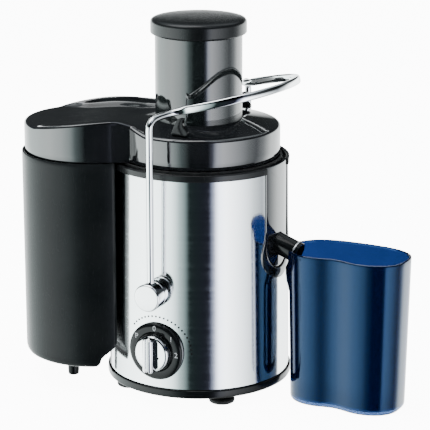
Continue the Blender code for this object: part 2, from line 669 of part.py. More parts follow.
def make_drive(empty):
    """Everything that turns with the motor: armature, shaft, fan, coupling and basket."""
    shaft = rod(4.0 * MM, (0.0, 0.0, 19.6 * MM), (0.0, 0.0, 150.0 * MM))
    hang(part(shaft, "motor_shaft", "steel"), empty)
    armature = turned([(22.6 * MM, 93.0 * MM), (22.6 * MM, 53.0 * MM), (4.3 * MM, 53.0 * MM),
                       (4.3 * MM, 93.0 * MM)], 24)
    hang(part(armature, "motor_armature", "laminate"), empty)
    commutator = turned([(12.5 * MM, 44.0 * MM), (12.5 * MM, 31.0 * MM), (4.3 * MM, 31.0 * MM),
                         (4.3 * MM, 44.0 * MM)], COARSE)
    hang(part(commutator, "commutator", "copper"), empty)

    fan = turned([(34.0 * MM, 99.0 * MM), (34.0 * MM, 97.5 * MM), (4.3 * MM, 97.5 * MM),
                  (4.3 * MM, 107.0 * MM), (8.0 * MM, 107.0 * MM), (8.0 * MM, 99.0 * MM)], 24)
    for step in range(10):
        blade = box((24.0 * MM, 1.2 * MM, 8.0 * MM), (21.0 * MM, 0.0, 102.5 * MM))
        blade.data.transform(Matrix.Rotation(math.radians(36.0 * step), 4, "Z"))
        join(fan, blade)
    hang(part(fan, "cooling_fan", "black_satin"), empty)

    coupling = turned([(11.5 * MM, 163.0 * MM), (11.5 * MM, 141.0 * MM), (4.3 * MM, 141.0 * MM),
                       (4.3 * MM, 150.6 * MM), (0.0, 150.6 * MM), (0.0, 163.0 * MM)], COARSE)
    hang(part(coupling, "drive_coupling", "black_satin"), empty)

    hub = turned([(49.4 * MM, 171.6 * MM), (50.0 * MM, 168.0 * MM), (18.6 * MM, 166.0 * MM),
                  (18.6 * MM, 154.0 * MM), (16.9 * MM, 154.0 * MM), (16.9 * MM, 163.4 * MM),
                  (0.0, 163.4 * MM), (0.0, 171.6 * MM)], 32)
    hang(part(hub, "basket_hub", "black_satin"), empty)
    grater = turned([(48.0 * MM, 173.2 * MM), (48.0 * MM, 171.9 * MM), (0.0, 171.9 * MM),
                     (0.0, 173.2 * MM)], 32)
    hang(part(grater, "grater_disc", "steel"), empty)
    sieve = turned([(68.0 * MM, 234.0 * MM), (52.0 * MM, 168.0 * MM), (51.0 * MM, 168.0 * MM),
                    (67.0 * MM, 234.0 * MM)])
    hang(part(sieve, "sieve_basket", "steel"), empty)
    rim = turned([(73.0 * MM, 239.0 * MM), (73.0 * MM, 236.6 * MM), (69.4 * MM, 234.4 * MM),
                  (66.0 * MM, 234.4 * MM), (66.0 * MM, 236.6 * MM), (71.0 * MM, 239.0 * MM)])
    hang(part(rim, "basket_rim", "black_satin"), empty)


# ---------------------------------------------------------------- cover

def lid_plan(inset):
    """Plan of the lid and bin: drawn in a little towards the body, with a round outer end."""
    side = [(26.0 * MM, LID_NECK.y - 8.0 * MM), tuple(LID_NECK), tuple(LID_CORNER)]
    side = [(u, v - inset) for u, v in side]
    end = arc((BIN_CENTRE, 0.0), LID_HALF_WIDTH - inset, -94.0, 94.0, 24)
    return turn_plan([(u, -v) for u, v in side] + end + side[::-1], BIN_ANGLE)


def lid_profile(drop):
    """Side view of the lid over the bin: highest near the body, sloping down outwards."""
    points = [(25.0, 200.0), (25.0, 274.0), (38.0, 276.0), (50.0, 280.0), (60.0, 284.0),
              (68.0, 285.8), (76.0, 286.0), (95.0, 285.0), (115.0, 282.8), (135.0, 279.7),
              (152.0, 276.0), (168.0, 270.6), (185.0, 261.5), (185.0, 200.0)]
    return [(u * MM, z * MM - drop) for u, z in points]


def lid_solid(inset, drop):
    """The raised lid as the plan and the side view have it in common."""
    lid = plate(lid_plan(inset), COVER_BOTTOM - drop, 300.0 * MM)
    side = plate(lid_profile(drop), -90.0 * MM, 90.0 * MM)
    upright = Matrix(((1.0, 0.0, 0.0), (0.0, 0.0, -1.0), (0.0, 1.0, 0.0))).to_4x4()
    side.data.transform(Matrix.Rotation(BIN_ANGLE, 4, "Z") @ upright)
    return common(lid, side)


def make_cover():
    """Smoked cover: round top over the basket, lid over the bin, and the feed chute."""
    low = COVER_BOTTOM
    cover = turned([(0.0, COVER_CROWN), (CHUTE_RADIUS, COVER_CROWN), (79.5 * MM, COVER_RIM + 1.0 * MM),
                    (82.2 * MM, COVER_RIM - 0.4 * MM), (COVER_RADIUS, COVER_RIM - 2.4 * MM),
                    (COVER_RADIUS, low), (0.0, low)])
    join(cover, lid_solid(0.0, 0.0))
    room = turned([(0.0, COVER_CROWN - SHELL), (CHUTE_RADIUS, COVER_CROWN - SHELL),
                   (78.0 * MM, COVER_RIM - 2.0 * MM), (COVER_RADIUS - SHELL, COVER_RIM - 4.0 * MM),
                   (COVER_RADIUS - SHELL, low - 4.0 * MM), (0.0, low - 4.0 * MM)])
    join(room, lid_solid(SHELL, SHELL))
    cut(cover, room)
    join(cover, rod(CHUTE_RADIUS, (0, 0, 258.0 * MM), (0, 0, CHUTE_TOP), FINE))
    cut(cover, rod(CHUTE_RADIUS - SHELL, (0, 0, 250.0 * MM), (0, 0, CHUTE_TOP + 10 * MM), FINE))
    return part(cover, "cover", "smoke")


def make_catch_lugs():
    """Two lugs on top of the cover that the arm presses on."""
    for side, name in ((-1.0, "front_catch_lug"), (1.0, "rear_catch_lug")):
        lug = box((20.0 * MM, 5.0 * MM, 17.5 * MM), (15.0 * MM, side * 70.0 * MM, 286.6 * MM))
        part(bevel(lug, 1.8 * MM, 2), name, "black_gloss")


def make_pusher(empty):
    tube = turned([(41.2 * MM, CHUTE_TOP - 1.0 * MM), (41.2 * MM, 262.0 * MM), (0.0, 262.0 * MM),
                   (0.0, 264.0 * MM), (39.2 * MM, 264.0 * MM), (39.2 * MM, CHUTE_TOP - 1.0 * MM)])
    hang(part(tube, "pusher_tube", "charcoal"), empty)
    low = CHUTE_TOP + GAP
    cap = turned([(0.0, CAP_TOP), (30.0 * MM, CAP_TOP - 0.7 * MM), (45.0 * MM, CAP_TOP - 2.2 * MM),
                  (CAP_RADIUS - 0.6 * MM, CAP_TOP - 4.2 * MM), (CAP_RADIUS, CAP_TOP - 6.5 * MM),
                  (CAP_RADIUS, low), (0.0, low)])
    hang(part(cap, "pusher_cap", "black_satin"), empty)


# ---------------------------------------------------------------- bin and jug

def make_bin(empty):
    pulp_bin = plate(lid_plan(-BIN_MARGIN), BIN_BOTTOM, BIN_TOP)
    cut(pulp_bin, body_room(BIN_CLEARANCE))
    hollow = plate(lid_plan(SHELL - BIN_MARGIN), BIN_BOTTOM + SHELL, BIN_TOP + 5.0 * MM)
    cut(hollow, body_room(BIN_CLEARANCE + SHELL))
    cut(pulp_bin, hollow)
    x, y = turn_plan([PEG_PLACE], BIN_ANGLE)[0]
    join(pulp_bin, rod(PEG_RADIUS, (x, y, 0.0), (x, y, BIN_BOTTOM + SHELL / 2), COARSE))
    return hang(part(pulp_bin, "pulp_bin", "charcoal"), empty)


def body_room(radius):
    """The motor base and a sloping cove at its foot, as cleared by the bin."""
    cove = 16.0 * MM
    start = BIN_BOTTOM + 5.0 * MM
    return turned([(0.0, 260.0 * MM), (radius, 260.0 * MM), (radius, start + 22.0 * MM),
                   (radius + 0.35 * cove, start + 10.0 * MM), (radius + cove, start),
                   (radius + cove, 10.0 * MM), (0.0, 10.0 * MM)])


def jug_outline(inset, scale):
    """Bean-shaped plan: an oval whose front side is drawn in at the middle."""
    points = []
    count = 48
    for step in range(count):
        angle = 2 * math.pi * step / count
        c, s = math.cos(angle), math.sin(angle)
        x = (JUG_LENGTH * scale - inset) * math.copysign(abs(c) ** 0.72, c)
        y = (JUG_WIDTH * scale - inset) * math.copysign(abs(s) ** 0.72, s)
        if s < 0.0:
            y += 7.0 * MM * math.exp(-((x + 4.0 * MM) / (20.0 * MM)) ** 2)
        points.append((x + JUG_CENTRE.x, y + JUG_CENTRE.y))
    return points


def loft(lower, upper, low, high):
    """A solid between two outlines with the same number of points."""
    bm = bmesh.new()
    bottom = [bm.verts.new((x, y, low)) for x, y in lower]
    top = [bm.verts.new((x, y, high)) for x, y in upper]
    bm.faces.new(list(reversed(bottom)))
    bm.faces.new(top)
    for here in range(len(bottom)):
        there = (here + 1) % len(bottom)
        bm.faces.new((bottom[here], bottom[there], top[there], top[here]))
    return from_bmesh(bm)


def make_jug(empty):
    jug = loft(jug_outline(0.0, JUG_TAPER), jug_outline(0.0, 1.0), 0.0, JUG_HEIGHT)
    hollow = loft(jug_outline(JUG_WALL, JUG_TAPER), jug_outline(JUG_WALL, 1.002),
                  JUG_FLOOR, JUG_HEIGHT + 5.0 * MM)
    cut(jug, hollow)
    edge = JUG_CENTRE.x - JUG_LENGTH
    low = JUG_HEIGHT - 6.0 * MM
    notch = rod(JUG_NOTCH, (edge - 10.0 * MM, 0.0, low), (edge + 16.0 * MM, 0.0, low))
    join(notch, box((26.0 * MM, 2 * JUG_NOTCH, 20.0 * MM), (edge + 3.0 * MM, 0.0, low + 10.0 * MM)))
    cut(jug, notch)
    return hang(part(jug, "juice_jug", "blue"), empty)


def main():
    make_feet()
    make_base_plate()
    make_base_skirt()
    make_base_screws()
    make_motor_housing()
    make_steel_wrap()
    make_notch_trim()
    make_top_collar()
    make_bowl_deck()
    make_shaft_seal()
    make_cord_inlet()
    make_motor()
    make_switch()
    make_dial_bezel()
    make_pivot_pins()
    make_juice_bowl()
    make_bowl_seal()
    make_spout()
    make_cover()
    make_catch_lugs()
    make_drive(joint_empty("drive_axis", (0.0, 0.0, 0.0)))
    make_knob(joint_empty("knob_axis", (0.0, -100.0 * MM, DIAL_Z)))
    arm_axis = joint_empty("arm_axis", (PIVOT_X, 0.0, PIVOT_Z))
    make_pivot_caps(arm_axis)
    make_arm(arm_axis)
    make_pusher(joint_empty("pusher_axis", (0.0, 0.0, CHUTE_TOP)))
    make_bin(joint_empty("bin_axis", (0.0, 0.0, BIN_BOTTOM)))
    make_jug(joint_empty("jug_axis", JUG_CENTRE))


main()
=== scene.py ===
import math

import bpy
from mathutils import Matrix, Vector


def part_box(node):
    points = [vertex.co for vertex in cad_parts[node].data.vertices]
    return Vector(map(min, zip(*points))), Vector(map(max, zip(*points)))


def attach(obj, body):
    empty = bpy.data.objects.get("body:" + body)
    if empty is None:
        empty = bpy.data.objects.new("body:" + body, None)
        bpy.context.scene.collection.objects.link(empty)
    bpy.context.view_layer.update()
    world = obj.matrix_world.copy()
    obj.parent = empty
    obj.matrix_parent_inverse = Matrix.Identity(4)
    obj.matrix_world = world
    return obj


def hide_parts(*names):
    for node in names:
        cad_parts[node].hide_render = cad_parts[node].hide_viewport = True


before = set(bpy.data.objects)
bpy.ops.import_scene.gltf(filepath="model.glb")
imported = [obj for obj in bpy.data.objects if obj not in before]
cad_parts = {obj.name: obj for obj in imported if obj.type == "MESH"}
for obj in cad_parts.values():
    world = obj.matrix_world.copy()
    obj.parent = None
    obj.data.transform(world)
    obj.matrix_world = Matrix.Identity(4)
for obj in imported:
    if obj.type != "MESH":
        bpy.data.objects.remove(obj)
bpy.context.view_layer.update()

MM = 0.001
STUDIO_STRENGTH = 6.0              # light of the soft boxes
BACKDROP_STRENGTH = 12.0           # the white that the camera sees behind the piece
FLOOR_STRENGTH = 11.0              # added to the floor where the camera sees it
TAU = 2 * math.pi


def axis_of(node):
    """Middle of a node's box in plan: the place of the motor axis."""
    low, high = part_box(node)
    return Vector(((low.x + high.x) / 2, (low.y + high.y) / 2, 0.0))


MOTOR_AXIS = axis_of("motor_shaft")

# Sizes in millimetres from the motor axis; the spout is on +X and the dial on -Y.
BIN_TURN = math.radians(197.0)     # the pulp bin's direction
BASE_RIM = 235.0                   # top of the steel wrap
BODY_LOW = (20.3, 93.6)            # steel wrap: height and outside radius
BODY_HIGH = (BASE_RIM, 91.3)
DIAL_Z = 58.5
PIVOT_X = 2.5
PIVOT_Z = 121.0
COVER_RADIUS = 83.0
CHUTE_RADIUS = 44.2
LID_HALF = 69.0
LID_CORNER = (75.0, 61.5)          # where the lid's sides turn in, along and across the bin
LID_ROOT = (59.2, 58.2)            # where they meet the round cover
BIN_MARGIN = 3.0                   # how far the bin stands out beyond the lid
BIN_BOTTOM = 28.0
ROUND_END = 112.0                  # centre of the bin's round end
BOW_TILT = math.radians(14.0)
ROD_Y = 108.7                      # the arm's upright rods, in front and behind
SPOUT_TILT = math.radians(20.0)
SPOUT_ROOT = (84.0, 0.0, 162.0)
NOTCH_HALF = 24.5                  # half width of the cut-out in front of the spout
NOTCH_BOTTOM = 134.0
FEET_CIRCLE = 75.7                 # radius of the circle that the feet stand on
WRAP_GAP = 30.3                    # degrees either way where the wrap is open for the bin
MARK_CIRCLE = 24.6                 # radius of the characters round the knob
DOT_CIRCLE = 36.0                  # radius of the dots on the steel
DIAL_FACE = 97.85                  # distance of the dial plate's face from the motor axis
GRIP_LENGTH = 35.0
BOW_CENTRE = (12.0, 302.0)         # x and z of the bow's middle
BOW_REACH = (92.0, 76.0)           # along the bow and across it
BOW_POWER = 1 / 1.1                # a little squarer than an ellipse
CHUTE_WALL = 2.5
PANEL_WALL = 2.6                   # front panel of the juice bowl
COVER_WALL = 2.4
COVER_ROUNDING = 3.6               # rounding of the cover's upper edge
JUG_PLACE = (167.0, 5.0)
JUG_HALF = (62.0, 38.0)            # half length and half width at the rim
JUG_POWER = 0.72                   # squareness of the jug in plan
JUG_TOP = 158.0


# ------------------------------------------------------------------ bench tools

def at(place):
    """A place in millimetres from the motor axis, in the frame's metres."""
    return Vector(place) * MM + MOTOR_AXIS


def smooth(value):
    """Runs softly from 0 to 1."""
    value = min(max(value, 0.0), 1.0)
    return value * value * (3 - 2 * value)


def nothing_picked():
    if bpy.context.object and bpy.context.object.mode != "OBJECT":
        bpy.ops.object.mode_set(mode="OBJECT")
    bpy.ops.object.select_all(action="DESELECT")


def pick(item):
    nothing_picked()
    item.select_set(True)
    bpy.context.view_layer.objects.active = item


def pick_rims():
    """Select the open rims of the mesh in edit mode."""
    bpy.ops.mesh.select_mode(type="EDGE")
    bpy.ops.mesh.select_all(action="DESELECT")
    bpy.ops.mesh.select_non_manifold(extend=False, use_wire=False, use_boundary=True,
                                     use_multi_face=False, use_non_contiguous=False,
                                     use_verts=False)


def drawn_rings(name, facets, rings, place, ends="bridge"):
    """Rings drawn up out of one circle, one after the other, and set to their places.

    place takes the ring's number and the step round it.  The ends are bridged to each other,
    filled, or left open."""
    nothing_picked()
    bpy.ops.mesh.primitive_circle_add(vertices=facets, radius=1.0)
    item = bpy.context.object
    item.name = name
    item.data.name = name
    bpy.ops.object.mode_set(mode="EDIT")
    for _ in range(rings - 1):
        bpy.ops.mesh.extrude_region_move(TRANSFORM_OT_translate={"value": (0.0, 0.0, 1.0)})
    bpy.ops.object.mode_set(mode="OBJECT")
    for point in item.data.vertices:
        step = round(math.atan2(point.co.y, point.co.x) / TAU * facets) % facets
        point.co = at(place(round(point.co.z), step))
    bpy.ops.object.mode_set(mode="EDIT")
    bpy.ops.mesh.select_all(action="SELECT")
    bpy.ops.mesh.remove_doubles(threshold=0.000002)
    if ends != "open":
        pick_rims()
        if ends == "bridge":
            bpy.ops.mesh.bridge_edge_loops()
        else:
            bpy.ops.mesh.fill_holes(sides=0)
    bpy.ops.mesh.select_all(action="SELECT")
    bpy.ops.mesh.normals_make_consistent(inside=False)
    bpy.ops.object.mode_set(mode="OBJECT")
    return item


def rounded(corners, steps=4, closed=True):
    """Points of an outline from corners (a, b, rounding), each corner taken round in steps."""
    points = []
    count = len(corners)
    for index, (a, b, rounding) in enumerate(corners):
        here = Vector((a, b))
        if rounding <= 0.0 or (not closed and index in (0, count - 1)):
            points.append(here)
            continue
        before = Vector(corners[index - 1][:2]) - here
        after = Vector(corners[(index + 1) % count][:2]) - here
        start = here + before.normalized() * min(rounding, before.length * 0.49)
        end = here + after.normalized() * min(rounding, after.length * 0.49)
        for step in range(steps + 1):
            t = step / steps
            points.append(start * (1 - t) ** 2 + here * (2 * t * (1 - t)) + end * t * t)
    return points


def turned(name, corners, facets=128, stand=None, steps=4):
    """A piece turned on a lathe from (radius, height, rounding) corners.

    stand is the matrix, in millimetres, from the lathe's axis to the piece's place."""
    solid = corners[0][0] == 0.0 and corners[-1][0] == 0.0
    profile = rounded(corners, steps, closed=not solid)
    stand = stand or Matrix.Identity(4)

    def place(ring, step):
        angle = TAU * step / facets
        radius, height = profile[ring]
        return stand @ Vector((radius * math.cos(angle), radius * math.sin(angle), height))

    return drawn_rings(name, facets, len(profile), place, "open" if solid else "bridge")


def even(points, count):
    """A closed outline walked round in equal steps."""
    loop = points + points[:1]
    reach = [0.0]
    for here, there in zip(loop, loop[1:]):
        reach.append(reach[-1] + (there - here).length)
    walked = []
    index = 0
    for step in range(count):
        goal = reach[-1] * step / count
        while reach[index + 1] < goal:
            index += 1
        share = (goal - reach[index]) / max(reach[index + 1] - reach[index], 1e-9)
        walked.append(loop[index].lerp(loop[index + 1], share))
    return walked


def add_modifier(item, kind, **values):
    """Put a modifier on and apply it at once."""
    pick(item)
    modifier = item.modifiers.new(kind.lower(), kind)
    for key, value in values.items():
        setattr(modifier, key, value)
    bpy.ops.object.modifier_apply(modifier=modifier.name)
    return item


def cut_away(item, *tools):
    """Cut the tools out of the piece and put the tools away."""
    for tool in tools:
        add_modifier(item, "BOOLEAN", operation="DIFFERENCE", solver="EXACT", object=tool)
        bpy.data.objects.remove(tool, do_unlink=True)
    return item


def joined(item, *others):
    """Make one object of several closed shells."""
    pick(item)
    for other in others:
        other.select_set(True)
    bpy.ops.object.join()
    return item


def block(name, size, middle):
    """A plain block, in millimetres."""
    nothing_picked()
    bpy.ops.mesh.primitive_cube_add(size=1.0)
    item = bpy.context.object
    item.name = name
    item.data.name = name
    bpy.ops.object.mode_set(mode="EDIT")
    bpy.ops.transform.resize(value=[side * MM for side in size])
    bpy.ops.transform.translate(value=at(middle))
    bpy.ops.object.mode_set(mode="OBJECT")
    return item


def finished(item, body, material, nodes=(), angle=38.0):
    """Smooth a piece, give it its finish and put it on its body in place of the plain nodes."""
    pick(item)
    bpy.ops.object.shade_smooth_by_angle(angle=math.radians(angle))
    item.data.materials.clear()
    item.data.materials.append(material)
    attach(item, body)
    if nodes:
        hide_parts(*nodes)
    return item


def body_radius(z):
    share = (z - BODY_LOW[0]) / (BODY_HIGH[0] - BODY_LOW[0])
    return BODY_LOW[1] + (BODY_HIGH[1] - BODY_LOW[1]) * share


def facing_front(x, y, z):
    """Lathe axis laid down to point at the front, with its zero at the given place."""
    return Matrix.Translation((x, y, z)) @ Matrix.Rotation(math.radians(90.0), 4, "X")


# ------------------------------------------------------------------ finishes

def new_group(name, inputs, outputs):
    """An empty shader node group with float inputs and named outputs."""
    tree = bpy.data.node_groups.new(name, "ShaderNodeTree")
    for label, value in inputs.items():
        socket = tree.interface.new_socket(name=label, in_out="INPUT",
                                           socket_type="NodeSocketFloat")
        socket.default_value = value
    for label in outputs:
        tree.interface.new_socket(name=label, in_out="OUTPUT", socket_type="NodeSocketFloat")
    return tree, tree.nodes.new("NodeGroupInput"), tree.nodes.new("NodeGroupOutput")


def add_node(tree, kind, values=None, **settings):
    node = tree.nodes.new(kind)
    for key, value in settings.items():
        setattr(node, key, value)
    for key, value in (values or {}).items():
        if hasattr(value, "is_output"):
            tree.links.new(value, node.inputs[key])
        else:
            node.inputs[key].default_value = value
    return node


def arithmetic(tree, operation, first, second, clamp=False):
    return add_node(tree, "ShaderNodeMath", {0: first, 1: second},
                    operation=operation, use_clamp=clamp).outputs[0]


def spread(tree, value, low, high):
    """Stretch a 0.35 to 0.65 noise value over a new range."""
    node = add_node(tree, "ShaderNodeMapRange",
                    {"Value": value, "From Min": 0.35, "From Max": 0.65,
                     "To Min": low, "To Max": high})
    return node.outputs["Result"]


def noise(tree, scale, stretch=(1.0, 1.0, 1.0), detail=3.0, roughness=0.55):
    place = add_node(tree, "ShaderNodeTexCoord").outputs["Object"]
    mapped = add_node(tree, "ShaderNodeMapping", {"Vector": place, "Scale": stretch})
    return add_node(tree, "ShaderNodeTexNoise",
                    {"Vector": mapped.outputs[0], "Scale": scale, "Detail": detail,
                     "Roughness": roughness}).outputs["Fac"]


def make_moulding_group():
    """Fine pitted skin of moulded plastic, with broad cloudy variation of its colour."""
    tree, given, out = new_group("moulded_skin", {"Pit Size": 2200.0}, ("Cloud", "Pits"))
    cloud = spread(tree, noise(tree, 22.0, detail=4.0), 0.0, 1.0)
    pits = noise(tree, given.outputs["Pit Size"], detail=1.0)
    tree.links.new(cloud, out.inputs["Cloud"])
    tree.links.new(pits, out.inputs["Pits"])
    return tree


def make_smear_group():
    """Finger smears, dust and hairline scratches that dull a gloss in places."""
    tree, given, out = new_group("handling", {"Smear Size": 14.0}, ("Smears", "Scratches"))
    smears = spread(tree, noise(tree, given.outputs["Smear Size"], (1.0, 1.0, 0.5), 5.0, 0.62),
                    0.0, 1.0)
    lines = noise(tree, 60.0, (1.0, 9.0, 0.4), 2.0)
    away = arithmetic(tree, "ABSOLUTE", arithmetic(tree, "SUBTRACT", lines, 0.5), 0.0)
    thin = arithmetic(tree, "LESS_THAN", away, 0.004)
    tree.links.new(smears, out.inputs["Smears"])
    tree.links.new(thin, out.inputs["Scratches"])
    return tree


def make_brushing_group():
    """Lines that a brushing belt leaves round a cylinder."""
    tree, given, out = new_group("belt_brushing", {"Fineness": 900.0}, ("Lines", "Long Lines"))
    fine = noise(tree, given.outputs["Fineness"], (0.012, 0.012, 1.0), 2.0, 0.7)
    long_lines = noise(tree, 210.0, (0.008, 0.008, 1.0), 2.0, 0.6)
    tree.links.new(fine, out.inputs["Lines"])
    tree.links.new(spread(tree, long_lines, 0.0, 1.0), out.inputs["Long Lines"])
    return tree


def make_edge_group():
    """Mask of the outer edges, broken up as real rubbing breaks them."""
    tree, given, out = new_group("edge_rub", {"Amount": 1.0}, ("Edges",))
    bend = add_node(tree, "ShaderNodeNewGeometry").outputs["Pointiness"]
    edge = add_node(tree, "ShaderNodeMapRange",
                    {"Value": bend, "From Min": 0.53, "From Max": 0.62})
    patch = spread(tree, noise(tree, 90.0, detail=4.0), 0.0, 1.0)
    worn = arithmetic(tree, "MULTIPLY", edge.outputs["Result"], patch)
    tree.links.new(arithmetic(tree, "MULTIPLY", worn, given.outputs["Amount"], True),
                   out.inputs["Edges"])
    return tree


MOULDED_SKIN = make_moulding_group()
HANDLING = make_smear_group()
BRUSHING = make_brushing_group()
EDGE_RUB = make_edge_group()


def new_material(name):
    material = bpy.data.materials.new(name)
    material.use_nodes = True
    return material, material.node_tree, material.node_tree.nodes["Principled BSDF"]


def placed(tree, group, **values):
    node = tree.nodes.new("ShaderNodeGroup")
    node.node_tree = group
    for key, value in values.items():
        node.inputs[key.replace("_", " ")].default_value = value
    return node.outputs


def blended(tree, mask, first, second):
    """Colour that goes from the first to the second with the mask."""
    node = tree.nodes.new("ShaderNodeMix")
    node.data_type = "RGBA"
    tree.links.new(mask, node.inputs[0])
    for socket, colour in ((node.inputs[6], first), (node.inputs[7], second)):
        if hasattr(colour, "is_output"):
            tree.links.new(colour, socket)
        else:
            socket.default_value = (*colour, 1.0)
    return node.outputs[2]


def bumped(tree, height, strength, depth_mm):
    node = add_node(tree, "ShaderNodeBump",
                    {"Height": height, "Strength": strength, "Distance": depth_mm * MM})
    return node.outputs["Normal"]


def plastic(name, colour, cloud_colour, edge_colour, roughness, ior=1.5, pits=0.02,
            pit_size=2200.0, smear=0.06):
    """Moulded plastic: cloudy colour, pitted skin, smears and rubbed edges."""
    material, tree, shader = new_material(name)
    skin = placed(tree, MOULDED_SKIN, Pit_Size=pit_size)
    marks = placed(tree, HANDLING)
    edges = placed(tree, EDGE_RUB, Amount=0.5)
    base = blended(tree, skin["Cloud"], colour, cloud_colour)
    tree.links.new(blended(tree, edges["Edges"], base, edge_colour), shader.inputs["Base Color"])
    dull = arithmetic(tree, "MULTIPLY", marks["Smears"], smear)
    scratched = arithmetic(tree, "MULTIPLY", marks["Scratches"], 0.08)
    total = arithmetic(tree, "ADD", arithmetic(tree, "ADD", dull, scratched), roughness)
    tree.links.new(total, shader.inputs["Roughness"])
    tree.links.new(bumped(tree, skin["Pits"], 0.3, pits), shader.inputs["Normal"])
    shader.inputs["IOR"].default_value = ior
    return material


def brushed_metal(name, colour, dark, roughness, fineness=900.0, anisotropic=0.6):
    """Belt-brushed sheet: fine lines in tone, gloss and height."""
    material, tree, shader = new_material(name)
    lines = placed(tree, BRUSHING, Fineness=fineness)
    marks = placed(tree, HANDLING, Smear_Size=9.0)
    shade = arithmetic(tree, "ADD", arithmetic(tree, "MULTIPLY", lines["Lines"], 0.6),
                       arithmetic(tree, "MULTIPLY", lines["Long Lines"], 0.4))
    tree.links.new(blended(tree, shade, dark, colour), shader.inputs["Base Color"])
    gloss = arithmetic(tree, "ADD", arithmetic(tree, "MULTIPLY", lines["Long Lines"], 0.05),
                       arithmetic(tree, "MULTIPLY", marks["Smears"], 0.04))
    tree.links.new(arithmetic(tree, "ADD", gloss, roughness), shader.inputs["Roughness"])
    tree.links.new(bumped(tree, lines["Lines"], 0.25, 0.01), shader.inputs["Normal"])
    shader.inputs["Metallic"].default_value = 1.0
    shader.inputs["Anisotropic"].default_value = anisotropic
    return material


def plated_metal(name, colour, dull_colour, roughness, smear=0.05):
    """Polished or plated metal with light smears and rubbed edges."""
    material, tree, shader = new_material(name)
    marks = placed(tree, HANDLING, Smear_Size=22.0)
    edges = placed(tree, EDGE_RUB, Amount=0.4)
    base = blended(tree, marks["Smears"], colour, dull_colour)
    tree.links.new(blended(tree, edges["Edges"], base, dull_colour), shader.inputs["Base Color"])
    dull = arithmetic(tree, "ADD", arithmetic(tree, "MULTIPLY", marks["Smears"], smear),
                      arithmetic(tree, "MULTIPLY", marks["Scratches"], 0.06))
    tree.links.new(arithmetic(tree, "ADD", dull, roughness), shader.inputs["Roughness"])
    shader.inputs["Metallic"].default_value = 1.0
    return material


def clear_plastic(name, colour, cloud_colour, roughness, ior, clearness, sheen=(1.0, 1.0, 1.0)):
    """See-through tinted plastic with faint flow clouds and smears."""
    material, tree, shader = new_material(name)
    skin = placed(tree, MOULDED_SKIN)
    marks = placed(tree, HANDLING)
    tree.links.new(blended(tree, skin["Cloud"], colour, cloud_colour), shader.inputs["Base Color"])
    dull = arithmetic(tree, "MULTIPLY", marks["Smears"], 0.03)
    tree.links.new(arithmetic(tree, "ADD", dull, roughness), shader.inputs["Roughness"])
    shader.inputs["Transmission Weight"].default_value = clearness
    shader.inputs["Specular Tint"].default_value = (*sheen, 1.0)
    shader.inputs["IOR"].default_value = ior
    return material


def layered_metal(name, colour, gap_colour, pitch_mm):
    """Stacked sheets or windings: even bands a fixed pitch apart, one above the other."""
    material, tree, shader = new_material(name)
    place = add_node(tree, "ShaderNodeTexCoord").outputs["Object"]
    mapped = add_node(tree, "ShaderNodeMapping",
                      {"Vector": place, "Scale": (0.0, 0.0, 1.0)})
    bands = add_node(tree, "ShaderNodeTexWave",
                     {"Vector": mapped.outputs[0], "Scale": 0.314 / (pitch_mm * MM),
                      "Distortion": 0.4}, wave_type="BANDS", bands_direction="DIAGONAL")
    tree.links.new(blended(tree, bands.outputs["Fac"], gap_colour, colour),
                   shader.inputs["Base Color"])
    tree.links.new(bumped(tree, bands.outputs["Fac"], 0.6, 0.15), shader.inputs["Normal"])
    marks = placed(tree, HANDLING)
    dull = arithmetic(tree, "MULTIPLY", marks["Smears"], 0.15)
    tree.links.new(arithmetic(tree, "ADD", dull, 0.4), shader.inputs["Roughness"])
    shader.inputs["Metallic"].default_value = 1.0
    return material


STEEL = brushed_metal("brushed_steel", (0.80, 0.82, 0.83), (0.74, 0.76, 0.77), 0.05, 900.0, 0.3)
SATIN_STEEL = brushed_metal("satin_steel", (0.66, 0.67, 0.68), (0.45, 0.46, 0.47), 0.24,
                            1400.0, 0.3)
CHROME = plated_metal("bright_chrome", (0.90, 0.91, 0.92), (0.80, 0.81, 0.82), 0.035)
GLOSS_BLACK = plastic("gloss_black_plastic", (0.006, 0.007, 0.008), (0.010, 0.011, 0.012),
                      (0.05, 0.052, 0.055), 0.08, 1.28)
SATIN_BLACK = plastic("satin_black_plastic", (0.010, 0.011, 0.012), (0.016, 0.017, 0.018),
                      (0.07, 0.072, 0.075), 0.20, 1.34, 0.01, 3200.0, 0.08)
BIN_PLASTIC = plastic("charcoal_plastic", (0.009, 0.011, 0.012), (0.014, 0.016, 0.017),
                      (0.06, 0.062, 0.065), 0.20, 1.22, 0.006, 4200.0)
COVER_PLASTIC = plastic("smoked_cover_plastic", (0.010, 0.011, 0.013), (0.016, 0.017, 0.019),
                        (0.10, 0.11, 0.12), 0.035, 1.85, 0.004, 2400.0, 0.03)
PUSHER_PLASTIC = plastic("pusher_plastic", (0.008, 0.010, 0.010), (0.011, 0.013, 0.013),
                         (0.03, 0.032, 0.034), 0.10, 1.3, 0.0)
CHUTE_PLASTIC = clear_plastic("clear_smoked_plastic", (0.020, 0.026, 0.026),
                              (0.016, 0.021, 0.021), 0.02, 1.72, 0.3)
BLUE_PLASTIC = clear_plastic("clear_blue_plastic", (0.004, 0.012, 0.055),
                             (0.003, 0.010, 0.045), 0.02, 1.45, 0.6, (0.22, 0.50, 1.0))
RUBBER = plastic("black_rubber", (0.012, 0.012, 0.012), (0.022, 0.022, 0.022),
                 (0.06, 0.06, 0.06), 0.62, 1.5, 0.12, 1200.0, 0.15)
COPPER = layered_metal("copper_winding", (0.78, 0.36, 0.18), (0.22, 0.08, 0.04), 0.8)
LAMINATE = layered_metal("stacked_laminate", (0.42, 0.43, 0.44), (0.12, 0.12, 0.13), 1.2)
WHITE_PRINT = plastic("white_print", (0.90, 0.91, 0.92), (0.84, 0.85, 0.86), (0.9, 0.9, 0.9),
                      0.45, 1.5, 0.01)
